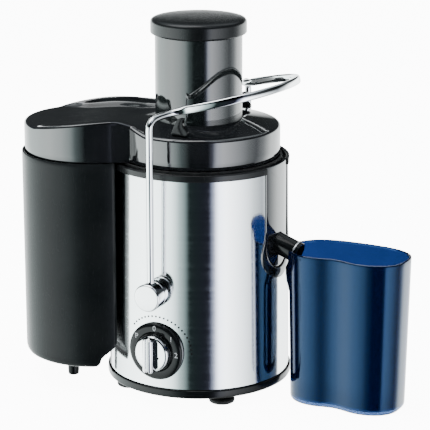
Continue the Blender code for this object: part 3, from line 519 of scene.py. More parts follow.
BLACK_PRINT = plastic("black_print", (0.01, 0.01, 0.011), (0.016, 0.016, 0.017),
                      (0.02, 0.02, 0.02), 0.5, 1.15, 0.01)


# ------------------------------------------------------------------ motor base

def make_base():
    band = turned("skirt_band", [(90.5, 10.8, 0.6), (95.5, 10.8, 2.4), (95.5, 19.7, 1.6),
                                 (90.5, 19.7, 0.6)], 160)
    finished(band, "base", GLOSS_BLACK, ["base_skirt"])

    for number in range(4):
        angle = math.radians(45.0 + 90.0 * number)
        stand = Matrix.Translation((FEET_CIRCLE * math.cos(angle),
                                    FEET_CIRCLE * math.sin(angle), 0.0))
        foot = turned(f"foot_{number + 1}",
                      [(0.0, 0.0, 0.0), (9.0, 0.0, 0.4), (9.6, 0.5, 0.3), (12.6, 0.5, 1.4),
                       (13.6, 3.4, 1.6), (12.4, 5.8, 1.5), (8.6, 7.0, 1.2), (8.2, 10.4, 0.3),
                       (0.0, 10.4, 0.0)], 48, stand, 3)
        finished(foot, "base", RUBBER, [f"rubber_foot_{number + 1}"])

    wrap = turned("steel_body", [(93.58, 20.4, 0.0), (93.6, 20.3, 0.0), (92.5, 125.0, 0.0),
                                 (91.3, 235.0, 0.0), (90.5, 235.0, 0.0), (91.7, 125.0, 0.0),
                                 (92.8, 20.3, 0.0)], 192)
    cut_away(wrap, wedge(WRAP_GAP), notch_block(NOTCH_HALF + 1.5, NOTCH_BOTTOM - 1.5),
             *pivot_blocks(10.4))
    finished(wrap, "base", STEEL, ["steel_wrap"], 30.0)

    collar = turned("collar_band", [(88.8, 235.3, 0.4), (92.7, 235.3, 0.8), (92.7, 242.0, 1.0),
                                    (88.8, 242.0, 0.8)], 160)
    cut_away(collar, notch_block(NOTCH_HALF, NOTCH_BOTTOM))
    finished(collar, "base", SATIN_BLACK, ["top_collar"])


def wedge(half_angle):
    """A tall wedge over the bin's side of the body, used to cut."""
    corners = [Vector((40.0, 0.0))]
    for step in range(9):
        angle = math.radians(half_angle * (step / 4.0 - 1.0))
        corners.append(Vector((140.0 * math.cos(angle), 140.0 * math.sin(angle))))
    turn = Matrix.Rotation(BIN_TURN, 2)
    outline = even([turn @ corner for corner in corners], 60)
    return drawn_rings("cutter", 60, 2, lambda ring, step: (*outline[step], 10.0 + 250.0 * ring),
                       "fill")


def notch_outline(half_width, bottom, top, count):
    """U-shaped outline in y and z with a round bottom."""
    points = [Vector((0.0, top)), Vector((-half_width, top))]
    for step in range(25):
        angle = math.radians(180.0 + 7.5 * step)
        points.append(Vector((half_width * math.cos(angle),
                              bottom + half_width + half_width * math.sin(angle))))
    points.append(Vector((half_width, top)))
    return even(points, count)


def notch_block(half_width, bottom):
    outline = notch_outline(half_width, bottom, 262.0, 72)
    return drawn_rings("cutter", 72, 2,
                       lambda ring, step: (70.0 + 42.0 * ring, outline[step].x, outline[step].y),
                       "fill")


def pivot_blocks(radius):
    """Cutters through the wrap at both arm pivots."""
    tools = []
    for y in (-100.0, 82.0):
        tools.append(turned("cutter", [(0.0, 0.0, 0.0), (radius, 0.0, 0.0), (radius, 18.0, 0.0),
                                       (0.0, 18.0, 0.0)], 32,
                            Matrix.Translation((PIVOT_X, y, PIVOT_Z)) @
                            Matrix.Rotation(math.radians(-90.0), 4, "X")))
    return tools


def make_notch_trim():
    """Black lip round the spout panel, thin at the sides and wide below like a scoop."""
    half, top = NOTCH_HALF, BASE_RIM
    centre = NOTCH_BOTTOM + half
    path = []
    for step in range(61):
        share = step / 60
        if share < 0.3:
            path.append((Vector((half, top + (centre - top) * share / 0.3)), Vector((1.0, 0.0))))
        elif share > 0.7:
            path.append((Vector((-half, centre + (top - centre) * (share - 0.7) / 0.3)),
                         Vector((-1.0, 0.0))))
        else:
            angle = -math.pi * (share - 0.3) / 0.4
            out = Vector((math.cos(angle), math.sin(angle)))
            path.append((Vector((0.0, centre)) + out * half, out))
    section = rounded([(0.0, -2.6, 0.4), (0.0, 0.8, 0.7), (1.0, 1.3, 0.6), (1.0, -0.4, 0.2)], 2)

    def place(ring, step):
        foot, out = path[ring]
        width = 1.6 + 8.4 * smooth((176.0 - foot.y) / 34.0)
        along, lift = section[step]
        spot = foot + out * along * width
        radius = body_radius(spot.y) + lift * (0.5 + 0.5 * smooth((185.0 - foot.y) / 30.0))
        return (math.sqrt(max(radius * radius - spot.x * spot.x, 0.0)), spot.x, spot.y)

    trim = drawn_rings("spout_lip", len(section), len(path), place, "fill")
    finished(trim, "base", COVER_PLASTIC, ["notch_trim"])


def make_spout_panel():
    """Front panel of the juice bowl in the notch, and the bowl behind it."""
    outline = notch_outline(NOTCH_HALF - 0.4, NOTCH_BOTTOM + 1.0, 242.0, 96)
    shares = (0.0, 0.008, 0.03, 0.08, 0.2, 0.4, 0.65, 0.9, 1.0)

    def place(ring, step):
        edge = outline[step]
        spine = Vector((0.0, min(max(edge.y, 165.0), 225.0)))
        spot = edge.lerp(spine, shares[ring])
        fall = (1.4, 0.6, 0.15, 0.0)[min(ring, 3)]
        radius = 92.0 - (spot.y - 120.0) / 122.0 - fall
        return (math.sqrt(radius * radius - spot.x * spot.x), spot.x, spot.y)

    panel = drawn_rings("bowl_front", 96, len(shares), place, "open")
    if panel.data.polygons[0].normal.x < 0.0:
        panel.data.flip_normals()
    add_modifier(panel, "SOLIDIFY", thickness=PANEL_WALL * MM, offset=-1.0)
    cut_away(panel, spout_hole())
    finished(panel, "base", COVER_PLASTIC, ["juice_bowl"])

    bowl = turned("bowl_shell", [(14.0, 146.0, 1.0), (85.5, 146.0, 5.0), (85.5, 236.3, 0.3),
                                 (88.3, 236.3, 0.4), (88.3, 238.0, 0.4), (85.5, 238.0, 0.4),
                                 (85.5, 241.0, 0.4), (83.5, 241.0, 0.4), (83.5, 148.5, 5.0),
                                 (16.0, 148.5, 1.0), (16.0, 162.0, 0.5), (14.0, 162.0, 0.5)], 128)
    cut_away(bowl, spout_hole())
    finished(bowl, "base", COVER_PLASTIC, ["juice_bowl"])


def spout_shape(name, corners, facets=64):
    """A piece turned about the spout's sloping axis."""
    way = Vector((math.cos(SPOUT_TILT), 0.0, -math.sin(SPOUT_TILT)))
    turn = way.to_track_quat("Z", "Y").to_matrix().to_4x4()
    return turned(name, corners, facets, Matrix.Translation(SPOUT_ROOT) @ turn, 3)


def spout_hole():
    """Cutter for the hole that the spout goes through."""
    return spout_shape("cutter", [(0.0, -14.0, 0.0), (11.3, -14.0, 0.0), (11.3, 26.0, 0.0),
                                  (0.0, 26.0, 0.0)], 48)


def make_spout():
    spout = spout_shape("spout_tube", [(9.2, -1.5, 0.3), (11.0, -1.5, 0.3), (11.0, 26.0, 0.2),
                                       (10.8, 26.4, 0.2), (11.0, 26.8, 0.2), (11.0, 32.0, 0.7),
                                       (9.2, 32.0, 0.7)])
    finished(spout, "base", GLOSS_BLACK, ["juice_spout"])
    ring = spout_shape("spout_band", [(11.2, 27.0, 0.1), (11.9, 27.0, 0.3), (11.9, 28.6, 0.3),
                                      (11.2, 28.6, 0.1)])
    finished(ring, "base", SATIN_STEEL, ["spout_ring"])


# ------------------------------------------------------------------ dial

def make_dial():
    front = facing_front(0.0, 0.0, DIAL_Z)
    bezel = turned("dial_plate", [(4.0, 86.0, 0.3), (28.0, 86.0, 0.5), (29.6, 91.0, 1.2),
                                  (30.0, 95.2, 1.4), (27.2, 97.6, 3.0), (21.0, 98.0, 0.6),
                                  (20.4, 97.2, 0.4), (19.6, 96.6, 0.3), (4.0, 96.6, 0.3)],
                   96, front)
    finished(bezel, "base", GLOSS_BLACK, ["dial_bezel"])

    disc = turned("knob_disc", [(0.0, 70.6, 0.0), (3.0, 70.6, 0.2), (3.0, 97.0, 0.0),
                                (18.6, 97.0, 0.4), (19.0, 98.5, 0.5), (18.4, 104.6, 1.2),
                                (16.6, 105.8, 0.8), (0.0, 106.0, 0.0)], 96, front)
    section = rounded([(-5.5, 104.0, 0.0), (-5.5, 113.2, 1.8), (-2.4, 115.4, 1.4),
                       (-1.5, 113.4, 0.8), (-1.1, 110.2, 0.5), (1.1, 110.2, 0.5),
                       (1.5, 113.4, 0.8), (2.4, 115.4, 1.4), (5.5, 113.2, 1.8),
                       (5.5, 104.0, 0.0)], 3)
    outline = even(section, 72)
    ends = ((0.0, 0.90, 1.2), (0.9, 0.97, 0.3), (2.6, 1.0, 0.0), (17.5, 1.0, 0.0),
            (32.4, 1.0, 0.0), (34.1, 0.97, 0.3), (GRIP_LENGTH, 0.90, 1.2))

    def place(ring, step):
        along, width, sink = ends[ring]
        x, out = outline[step]
        out -= sink * smooth((out - 104.0) / 6.0)
        return (x * width, -out, DIAL_Z - GRIP_LENGTH / 2 + along)

    grip = drawn_rings("knob_grip", 72, len(ends), place, "fill")
    finished(joined(disc, grip), "knob", CHROME, ["control_knob"], 32.0)

    dot = turned("pointer_dot", [(0.0, 105.7, 0.0), (1.1, 105.7, 0.1), (1.1, 106.15, 0.1),
                                 (0.0, 106.15, 0.0)], 20, facing_front(8.4, 0.0, DIAL_Z - 3.0))
    finished(dot, "knob", BLACK_PRINT)

    for text, turn in (("P", -55.0), ("0", 0.0), ("1", 50.0), ("2", 90.0)):
        make_mark(text, math.radians(turn))
    make_dots()


def make_mark(text, turn):
    """One printed character on the dial plate."""
    nothing_picked()
    bpy.ops.object.text_add()
    mark = bpy.context.object
    mark.data.body = text
    mark.data.size = 7.5
    mark.data.extrude = 0.15
    mark.data.offset = 0.012
    mark.data.align_x = "CENTER"
    mark.data.align_y = "CENTER"
    mark.name = "mark_" + text
    bpy.ops.object.convert(target="MESH")
    stand = facing_front(MARK_CIRCLE * math.sin(turn), -DIAL_FACE,
                         DIAL_Z + MARK_CIRCLE * math.cos(turn))
    for point in mark.data.vertices:
        point.co = at(stand @ point.co)
    finished(mark, "base", WHITE_PRINT)


def make_dots():
    """Row of printed dots on the steel round the dial."""
    dots = []
    for step in range(21):
        turn = math.radians(-50.0 + 7.0 * step)
        x, z = DOT_CIRCLE * math.sin(turn), DIAL_Z + DOT_CIRCLE * math.cos(turn)
        radius = body_radius(z)
        lean = math.asin(x / radius)
        stand = (Matrix.Translation((x, -radius * math.cos(lean) + 0.05, z)) @
                 Matrix.Rotation(lean, 4, "Z") @ Matrix.Rotation(math.radians(90.0), 4, "X"))
        dots.append(turned("dot", [(0.0, -0.1, 0.0), (1.0, -0.1, 0.0), (1.0, 0.25, 0.0),
                                   (0.0, 0.25, 0.0)], 16, stand))
    row = joined(*dots)
    row.name = "dial_dots"
    finished(row, "base", BLACK_PRINT)


# ------------------------------------------------------------------ locking arm

def make_pivots():
    for side, name in ((-1.0, "front"), (1.0, "rear")):
        stand = (Matrix.Translation((PIVOT_X, 0.0, PIVOT_Z)) @
                 Matrix.Rotation(math.radians(-90.0 * side), 4, "X"))
        cap = turned(f"{name}_pivot_knob",
                     [(0.0, 112.6, 0.0), (5.4, 112.6, 0.2), (5.4, 97.0, 0.3), (13.2, 97.0, 0.6),
                      (14.0, 98.0, 0.6), (14.0, 104.0, 0.3), (13.6, 104.4, 0.2),
                      (14.0, 104.8, 0.3), (14.0, 117.0, 0.5), (13.0, 118.3, 0.8),
                      (0.0, 118.5, 0.0)], 96, stand)
        finished(cap, "arm", CHROME, [f"{name}_pivot_cap"])
        pin = turned(f"{name}_pivot_boss",
                     [(0.0, 82.0, 0.0), (12.5, 82.0, 0.6), (12.5, 86.5, 0.3), (10.0, 87.0, 0.3),
                      (10.0, 96.4, 0.4), (5.0, 96.5, 0.2), (5.0, 112.0, 0.5),
                      (0.0, 112.0, 0.0)], 64, stand)
        finished(pin, "base", GLOSS_BLACK, [f"{name}_pivot_pin"])


def bow_place(share):
    """A point on the middle line of the bow; share runs from -1 in front to 1 behind."""
    angle = share * math.pi / 2
    along = BOW_REACH[0] * abs(math.cos(angle)) ** BOW_POWER
    across = BOW_REACH[1] * math.copysign(abs(math.sin(angle)) ** BOW_POWER, angle)
    x, z = BOW_CENTRE
    return Vector((x + along * math.cos(BOW_TILT), across, z + along * math.sin(BOW_TILT)))


def soft_path(points, per_span):
    """A smooth line through the points, with even parts between neighbours."""
    ends = [points[0] * 2 - points[1], *points, points[-1] * 2 - points[-2]]
    line = []
    for index in range(1, len(ends) - 2):
        p0, p1, p2, p3 = ends[index - 1:index + 3]
        for step in range(per_span):
            t = step / per_span
            line.append(0.5 * (2 * p1 + (p2 - p0) * t + (2 * p0 - 5 * p1 + 4 * p2 - p3) * t * t +
                               (3 * p1 - p0 - 3 * p2 + p3) * t * t * t))
    line.append(points[-1])
    return line


def make_arm():
    """Chromed rod from both pivots, pressed into a flat band where it bows round the chute."""
    rod = [Vector((PIVOT_X, -ROD_Y, z)) for z in (130.0, 180.0, 240.0, 283.0, 289.0)]
    rod += [Vector(p) for p in ((2.8, -107.6, 294.4), (3.8, -103.4, 298.4), (6.0, -96.0, 300.2),
                                (9.0, -87.5, 300.9), (14.0, -80.2, 302.3))]
    bow = [bow_place(-0.93 + 0.062 * step) for step in range(31)]
    back = [Vector((p.x, -p.y, p.z)) for p in reversed(rod)]
    line = soft_path(rod + bow + back, 4)
    count = len(line)
    ways = [(line[min(i + 1, count - 1)] - line[max(i - 1, 0)]).normalized() for i in range(count)]
    middle = count // 2
    normals = [None] * count
    normals[middle] = Vector((-math.sin(BOW_TILT), 0.0, math.cos(BOW_TILT)))
    for index in list(range(middle + 1, count)) + list(range(middle - 1, -1, -1)):
        last = normals[index - 1] if index > middle else normals[index + 1]
        normals[index] = (last - ways[index] * last.dot(ways[index])).normalized()
    facets = 32

    def place(ring, step):
        spot = line[ring]
        flat = smooth((spot.x - 19.0) / 7.0)
        width = 3.5 - 0.5 * flat
        thick = 3.5 + 0.5 * flat
        power = 1.0 - 0.45 * flat
        angle = TAU * step / facets
        c, s = math.cos(angle), math.sin(angle)
        across = width * math.copysign(abs(c) ** power, c)
        up = thick * math.copysign(abs(s) ** power, s)
        side = ways[ring].cross(normals[ring])
        return spot + side * across + normals[ring] * up

    arm = drawn_rings("chrome_arm", facets, count, place, "fill")
    finished(arm, "arm", CHROME, ["locking_arm"], 40.0)


def make_catches():
    """Curved claws on the cover that the arm hooks over."""
    for side, name in ((-1.0, "front_catch"), (1.0, "rear_catch")):
        corners = rounded([(6.0, 277.9, 0.5), (24.5, 277.9, 2.0), (24.8, 282.0, 2.0),
                           (20.0, 286.0, 3.0), (19.0, 292.0, 3.0), (21.0, 295.0, 1.2),
                           (15.0, 295.3, 2.0), (11.5, 290.5, 4.0), (9.0, 284.0, 4.0)], 4)
        outline = even(corners, 72)

        def place(ring, step):
            x, z = outline[step]
            return (x, side * 70.0 + (ring - 0.5) * 5.0, z)

        claw = drawn_rings(name, 72, 2, place, "fill")
        add_modifier(claw, "BEVEL", width=0.9 * MM, segments=3, limit_method="ANGLE",
                     angle_limit=math.radians(60.0))
        finished(claw, "base", GLOSS_BLACK, [f"{name}_lug"])


# ------------------------------------------------------------------ cover and chute

def side_of_lid(margin):
    """Half of the plan over the bin, from its far end back to its corner."""
    half = LID_HALF + margin
    line = []
    for step in range(46):
        angle = math.radians(2.0 * step)
        line.append(Vector((ROUND_END + half * math.cos(angle), half * math.sin(angle))))
    for step in range(1, 13):
        share = step / 12
        line.append(Vector((ROUND_END + (LID_CORNER[0] - ROUND_END) * share,
                            half - (LID_HALF - LID_CORNER[1]) * share * share)))
    return line


def lid_reach(turn):
    """Distance from the motor axis to the lid's edge, in a direction off the bin's."""
    way = Vector((math.cos(turn), abs(math.sin(turn))))
    line = side_of_lid(0.0) + [Vector(LID_ROOT)]
    for here, there in zip(line, line[1:]):
        before, after = way.cross(here), way.cross(there)
        if before <= 0.0 <= after and after > before:
            return here.lerp(there, before / (before - after)).dot(way)
    return 0.0


def cover_reach(angle):
    """Outside of the cover in plan: round over the basket, drawn out over the bin."""
    return max(COVER_RADIUS, lid_reach(math.remainder(angle - BIN_TURN, TAU)))


def lid_height(u, v):
    """Side view of the lid's rim: an S from the round top, then a slope down outwards."""
    out = max(u - 74.0, 0.0)
    start = 28.0 - 26.0 * smooth((-v - 10.0) / 30.0)
    return (274.0 + 12.0 * smooth((u - start) / 50.0) - 0.03 * out - 0.0012 * out * out -
            0.006 * max(u - 150.0, 0.0) ** 2)


def cover_height(x, y, inset):
    """Top of the cover: a rim that follows the lid, with a dished floor inside it."""
    u = x * math.cos(BIN_TURN) + y * math.sin(BIN_TURN)
    v = -x * math.sin(BIN_TURN) + y * math.cos(BIN_TURN)
    radius = math.hypot(x, y)
    climb = (COVER_RADIUS - min(radius, COVER_RADIUS)) / (COVER_RADIUS - CHUTE_RADIUS)
    crown = 275.0 + 6.0 * climb
    side = smooth((LID_HALF + 7.0 - abs(v)) / 9.0) * smooth((u - 15.0) / 10.0)
    rim = crown + side * max(lid_height(u, v) - crown, 0.0)
    rise = lid_height(u, v) - 6.0 - crown
    floor = crown + side * (rise if rise > 12.0 else math.log1p(math.exp(rise / 1.5)) * 1.5)
    return rim + (floor - rim) * smooth((inset - 4.0) / 6.5) * smooth((u - 20.0) / 15.0)


def make_cover():
    facets = 432
    reach = [cover_reach(TAU * step / facets) for step in range(facets)]
    round_over = [(COVER_ROUNDING * (1 - math.cos(a)), COVER_ROUNDING * (1 - math.sin(a)))
                  for a in (0.0, 0.32, 0.64, 0.96, 1.28, math.pi / 2)]
    walls = (244.5, 245.6, 254.0, 263.0)
    insets = (4.6, 5.6, 6.6, 7.6, 8.6, 9.6, 10.6, 12.0)
    shares = [step / 12 for step in range(1, 13)]

    def place(ring, step):
        angle = TAU * step / facets
        c, s = math.cos(angle), math.sin(angle)
        full = reach[step]
        if ring < len(walls):
            inset, height = (0.5, walls[0]) if ring == 0 else (0.0, walls[ring])
            return ((full - inset) * c, (full - inset) * s, height)
        ring -= len(walls)
        if ring < len(round_over):
            inset, drop = round_over[ring]
            x, y = (full - inset) * c, (full - inset) * s
            flat = full - COVER_ROUNDING
            return (x, y, cover_height(flat * c, flat * s, COVER_ROUNDING) - drop)
        ring -= len(round_over)
        if ring < len(insets):
            radius = full - insets[ring]
        else:
            outer = full - insets[-1]
            radius = outer + (CHUTE_RADIUS - 1.0 - outer) * shares[ring - len(insets)]
        return (radius * c, radius * s, cover_height(radius * c, radius * s, full - radius))

    rings = len(walls) + len(round_over) + len(insets) + len(shares)
    cover = drawn_rings("smoked_cover", facets, rings, place, "open")
    add_modifier(cover, "SOLIDIFY", thickness=COVER_WALL * MM, offset=-1.0)
    finished(cover, "base", COVER_PLASTIC, ["cover"], 50.0)

    bore = CHUTE_RADIUS - CHUTE_WALL
    chute = turned("feed_chute", [(bore, 259.0, 0.5), (CHUTE_RADIUS, 259.0, 0.5),
                                  (CHUTE_RADIUS, 367.0, 0.8), (bore, 367.0, 0.8)], 160)
    finished(chute, "base", CHUTE_PLASTIC, ["cover"])


def make_pusher():
    tube = turned("pusher_body", [(0.0, 262.0, 0.0), (41.2, 262.0, 2.0), (41.2, 366.0, 0.3),
                                  (39.2, 366.0, 0.3), (39.2, 264.0, 2.0), (0.0, 264.0, 0.0)], 160)
    finished(tube, "pusher", PUSHER_PLASTIC, ["pusher_tube"])
    cap = turned("pusher_top", [(0.0, 367.4, 0.0), (47.4, 367.4, 0.6), (48.7, 368.6, 0.8),
                                (48.7, 380.2, 1.8), (46.6, 382.6, 2.4), (40.0, 383.9, 6.0),
                                (22.0, 384.8, 8.0), (0.0, 385.0, 0.0)], 160, None, 5)
    finished(cap, "pusher", SATIN_BLACK, ["pusher_cap"])


# ------------------------------------------------------------------ bin and jug

def drawn_tub(name, rings, outline_at, count):
    """A tub from rings of (height, inset), up its outside and down its inside."""
    outlines = [outline_at(z, inset) for z, inset in rings]
    return drawn_rings(name, count, len(rings),
                       lambda ring, step: (*outlines[ring][step], rings[ring][0]), "fill")


def bin_outline(inset, hug, count):
    """Plan of the bin: round outer end, sides drawn in and a hollow against the body."""
    radius = hug + inset
    side = side_of_lid(BIN_MARGIN - inset)
    while side[-1].length < radius:
        side.pop()
    corner = side[-1]
    inwards = (side[-1] - side[-2]).normalized()
    while corner.length > radius:
        corner = corner + inwards * 0.1
    side = [(u, v, 0.0) for u, v in side] + [(corner.x, corner.y, 1.5)]
    spread_angle = math.atan2(corner.y, corner.x)
    hollow = []
    for step in range(1, 24):
        angle = spread_angle * (1 - step / 12)
        hollow.append((radius * math.cos(angle), radius * math.sin(angle), 0.0))
    other = [(u, -v, rounding) for u, v, rounding in reversed(side[1:])]
    turn = Matrix.Rotation(BIN_TURN, 2)
    return even([turn @ point for point in rounded(side + hollow + other)], count)


def bin_hug(z):
    """Radius that the bin hugs round the body, drawn back in a cove at its foot."""
    return 97.0 + 16.0 * smooth((BIN_BOTTOM + 27.0 - z) / 20.0)


def make_bin():
    outside = [(BIN_BOTTOM, 8.0), (28.5, 4.6), (29.9, 2.2), (32.2, 0.8), (35.0, 0.15), (38.0, 0.0),
               (42.0, 0.0), (45.0, 0.0), (48.0, 0.0), (51.0, 0.0), (55.0, 0.0), (80.0, 0.0),
               (140.0, 0.0), (200.0, 0.0), (238.0, 0.0), (243.1, 0.0), (243.6, 0.3),
               (243.8, 0.9)]
    inside = [(243.8, 1.7), (243.6, 2.3), (243.0, 2.5), (200.0, 2.5), (80.0, 2.5), (55.0, 2.5),
              (51.0, 2.5), (47.0, 2.5), (43.0, 2.5), (38.0, 2.6), (34.0, 3.6), (31.2, 7.0),
              (30.6, 12.0)]
    count = 220
    tub = drawn_tub("bin_tub", outside + inside,
                    lambda z, inset: bin_outline(inset, bin_hug(z), count), count)
    x, y = Matrix.Rotation(BIN_TURN, 2) @ Vector((133.0, 12.0))
    peg = turned("bin_peg", [(0.0, 0.0, 0.0), (5.2, 0.0, 0.6), (5.6, 1.0, 0.4), (6.0, 5.0, 0.4),
                             (6.0, 25.0, 0.5), (8.0, 28.6, 0.4), (0.0, 28.6, 0.0)], 40,
                 Matrix.Translation((x, y, 0.0)))
    finished(joined(tub, peg), "bin", BIN_PLASTIC, ["pulp_bin"])


def jug_outline(inset, scale, lip, count):
    """Bean-shaped plan of the jug, with the spout end drawn out by the lip."""
    points = []
    fine = 240
    for step in range(fine):
        angle = TAU * step / fine
        c, s = math.cos(angle), math.sin(angle)
        x = (JUG_HALF[0] * scale - inset) * math.copysign(abs(c) ** JUG_POWER, c)
        y = (JUG_HALF[1] * scale - inset) * math.copysign(abs(s) ** JUG_POWER, s)
        if s < 0.0:
            y += 7.0 * math.exp(-((x + 4.0) / 20.0) ** 2)
        x -= lip * smooth((-x - 44.0) / 16.0) * smooth((26.0 - abs(y)) / 20.0)
        points.append(Vector((x, y)) + Vector(JUG_PLACE))
    return even(points, count)


def make_jug():
    def scale(z):
        return 0.945 + 0.055 * z / JUG_TOP

    def lip(z):
        return 5.5 * smooth((z - 112.0) / 14.0) * smooth((176.0 - z) / 34.0)

    outside = [(0.0, 6.0), (0.3, 3.4), (1.2, 1.5), (2.8, 0.4), (5.0, 0.0), (30.0, 0.0),
               (70.0, 0.0), (108.0, 0.0), (114.0, 0.0), (119.0, 0.0), (124.0, 0.0), (130.0, 0.0),
               (138.0, 0.0), (146.0, 0.0), (153.0, 0.0), (157.0, 0.0), (157.7, 0.3),
               (JUG_TOP, 0.8)]
    inside = [(JUG_TOP, 1.6), (157.7, 2.1), (157.0, 2.4), (153.0, 2.4), (146.0, 2.4), (138.0, 2.4),
              (130.0, 2.4), (124.0, 2.4), (119.0, 2.4), (114.0, 2.4), (108.0, 2.4), (70.0, 2.4),
              (30.0, 2.4), (8.0, 2.6), (5.6, 3.6), (4.4, 5.4), (4.0, 8.0)]
    count = 180
    jug = drawn_tub("jug_shell", outside + inside,
                    lambda z, inset: jug_outline(inset, scale(z), lip(z), count), count)
    stand = Matrix.Translation((90.0, 0.0, 152.0)) @ Matrix.Rotation(math.radians(90.0), 4, "Y")
    hole = turned("cutter", [(0.0, 0.0, 0.0), (16.0, 0.0, 0.0), (16.0, 31.0, 0.0),
                             (0.0, 31.0, 0.0)], 64, stand)
    mouth = block("cutter", (31.0, 32.0, 20.0), (105.5, 0.0, 162.0))
    cut_away(jug, hole, mouth)
    finished(jug, "jug", BLUE_PLASTIC, ["juice_jug"], 45.0)


# ------------------------------------------------------------------ pieces kept as they are

def finish_kept_nodes():
    """Give the nodes that stay as they are the finish of their kind."""
    kept = {
        SATIN_BLACK: ["base_plate", "bowl_deck", "cooling_fan", "drive_coupling", "basket_hub",
                      "basket_rim", "rotary_switch", "lower_motor_bracket",
                      "upper_motor_bracket"],
        GLOSS_BLACK: ["motor_housing"],
        RUBBER: ["cord_inlet", "bowl_seal", "shaft_seal"],
        SATIN_STEEL: ["motor_shaft", "sieve_basket", "grater_disc", "upper_bearing",
                      "lower_bearing", *[f"base_screw_{n}" for n in range(1, 5)],
                      *[f"motor_screw_{n}" for n in range(1, 5)]],
        COPPER: ["field_coils", "commutator", "left_brush_holder", "right_brush_holder"],
        LAMINATE: ["motor_field", "motor_armature"],
    }
    for material, names in kept.items():
        for name in names:
            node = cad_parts[name]
            for slot in node.material_slots:
                slot.material = material


# ------------------------------------------------------------------ studio

def seen_through(tree):
    """1 for what the camera sees, straight or through clear plastic, and 0 for reflections."""
    ray = tree.nodes.new("ShaderNodeLightPath")
    return arithmetic(tree, "MAXIMUM", ray.outputs["Is Camera Ray"],
                      ray.outputs["Is Transmission Ray"])


def make_floor():
    """Plain pale floor that looks evenly lit from the camera."""
    nothing_picked()
    bpy.ops.mesh.primitive_plane_add(size=24.0, location=(0.0, 0.0, 0.0))
    floor = bpy.context.object
    floor.name = "studio_floor"
    material, tree, shader = new_material("pale_floor")
    cloud = spread(tree, noise(tree, 1.5, detail=2.0), 0.0, 1.0)
    tree.links.new(blended(tree, cloud, (0.90, 0.90, 0.90), (0.88, 0.88, 0.88)),
                   shader.inputs["Base Color"])
    shader.inputs["Roughness"].default_value = 0.9
    shader.inputs["Specular IOR Level"].default_value = 0.0
    seen = seen_through(tree)
    shader.inputs["Emission Color"].default_value = (1.0, 1.0, 1.0, 1.0)
    tree.links.new(arithmetic(tree, "MULTIPLY", seen, FLOOR_STRENGTH),
                   shader.inputs["Emission Strength"])
    floor.data.materials.append(material)
    floor.visible_glossy = False


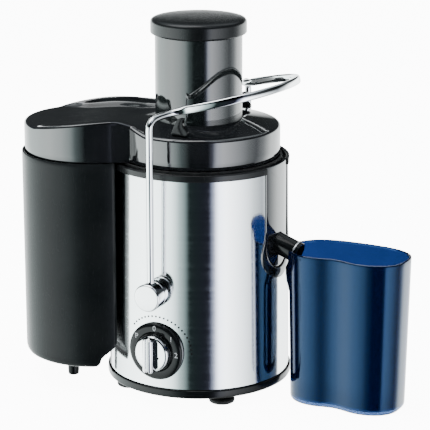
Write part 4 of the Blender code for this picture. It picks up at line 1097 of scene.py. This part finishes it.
def make_studio_light():
    """Tall soft boxes with dark gaps between them, all in the world's colour."""
    world = bpy.data.worlds.new("studio")
    bpy.context.scene.world = world
    world.use_nodes = True
    tree = world.node_tree
    tree.nodes.clear()
    way = add_node(tree, "ShaderNodeTexCoord").outputs["Generated"]
    turned_way = add_node(tree, "ShaderNodeVectorRotate",
                          {"Vector": way, "Angle": math.radians(62.5)}, rotation_type="Z_AXIS")
    round_about = add_node(tree, "ShaderNodeTexGradient", {"Vector": turned_way.outputs[0]},
                           gradient_type="RADIAL")
    boxes = colour_ramp(tree, round_about.outputs["Fac"], [
        (-180.0, (0.50, 0.52, 0.52)), (-150.0, (0.75, 0.80, 0.80)), (-128.0, (0.62, 0.70, 0.69)),
        (-105.0, (0.80, 0.90, 0.89)), (-75.0, (0.92, 1.0, 0.99)), (-52.0, (0.74, 0.82, 0.82)),
        (-36.0, (0.46, 0.54, 0.54)), (-25.0, (0.13, 0.17, 0.17)), (-13.0, (0.003, 0.005, 0.005)),
        (13.0, (0.003, 0.003, 0.005)), (19.0, (0.10, 0.11, 0.15)), (26.0, (0.80, 0.85, 0.98)),
        (34.0, (0.92, 0.95, 1.0)), (58.0, (0.50, 0.53, 0.56)), (74.0, (0.24, 0.26, 0.27)),
        (88.0, (0.12, 0.13, 0.14)), (104.0, (0.30, 0.32, 0.33)), (122.0, (0.80, 0.84, 0.84)),
        (150.0, (0.75, 0.78, 0.78)), (180.0, (0.50, 0.52, 0.52))],
        lambda azimuth: 0.5 + azimuth / 360.0)
    height = add_node(tree, "ShaderNodeSeparateXYZ", {"Vector": way}).outputs["Z"]
    raised = arithmetic(tree, "ADD", arithmetic(tree, "MULTIPLY", height, 0.5), 0.5)
    levels = colour_ramp(tree, raised, [
        (-1.0, (0.3, 0.3, 0.3)), (-0.45, (0.8, 0.8, 0.8)), (-0.35, (1.0, 1.0, 1.0)),
        (0.02, (1.0, 1.0, 1.0)), (0.08, (0.5, 0.5, 0.5)), (0.16, (0.015, 0.016, 0.016)),
        (0.5, (0.012, 0.013, 0.014)), (0.75, (0.20, 0.21, 0.22)), (1.0, (0.35, 0.36, 0.37))],
        lambda z: 0.5 + z / 2)
    lit = add_node(tree, "ShaderNodeMix", {0: 1.0, 6: boxes, 7: levels}, data_type="RGBA",
                   blend_type="MULTIPLY")
    studio = add_node(tree, "ShaderNodeBackground",
                      {"Color": lit.outputs[2], "Strength": STUDIO_STRENGTH})
    backdrop = add_node(tree, "ShaderNodeBackground",
                        {"Color": (1.0, 1.0, 1.0, 1.0), "Strength": BACKDROP_STRENGTH})
    seen = seen_through(tree)
    mixed = add_node(tree, "ShaderNodeMixShader", {0: seen, 1: studio.outputs[0],
                                                   2: backdrop.outputs[0]})
    out = tree.nodes.new("ShaderNodeOutputWorld")
    tree.links.new(mixed.outputs[0], out.inputs["Surface"])

    overhead = bpy.data.lights.new("overhead", "AREA")
    overhead.energy = 30.0
    overhead.size = 1.6
    lamp = bpy.data.objects.new("overhead", overhead)
    lamp.location = (-0.5, -0.4, 2.0)
    lamp.rotation_euler = Vector((0.5, 0.4, -1.8)).to_track_quat("-Z", "Y").to_euler()
    bpy.context.scene.collection.objects.link(lamp)


def colour_ramp(tree, value, stops, where):
    """A ramp through the stops; where turns a stop's own measure into its place."""
    ramp = add_node(tree, "ShaderNodeValToRGB", {"Fac": value})
    marks = ramp.color_ramp.elements
    while len(marks) > 1:
        marks.remove(marks[-1])
    for index, (measure, colour) in enumerate(stops):
        mark = marks[0] if index == 0 else marks.new(where(measure))
        mark.position = where(measure)
        mark.color = (*colour, 1.0)
    return ramp.outputs["Color"]


def make_camera():
    data = bpy.data.cameras.new("camera")
    data.lens = 167.44
    data.sensor_width = 36.0
    camera = bpy.data.objects.new("camera", data)
    camera.location = (0.8915, -1.7605, 0.7290)
    camera.rotation_euler = (math.radians(74.46), 0.0, math.radians(27.0245))
    bpy.context.scene.collection.objects.link(camera)
    bpy.context.scene.camera = camera


for step in (make_base, make_notch_trim, make_spout_panel, make_spout, make_dial, make_pivots,
             make_arm, make_catches, make_cover, make_pusher, make_bin, make_jug,
             finish_kept_nodes, make_floor, make_studio_light, make_camera):
    step()
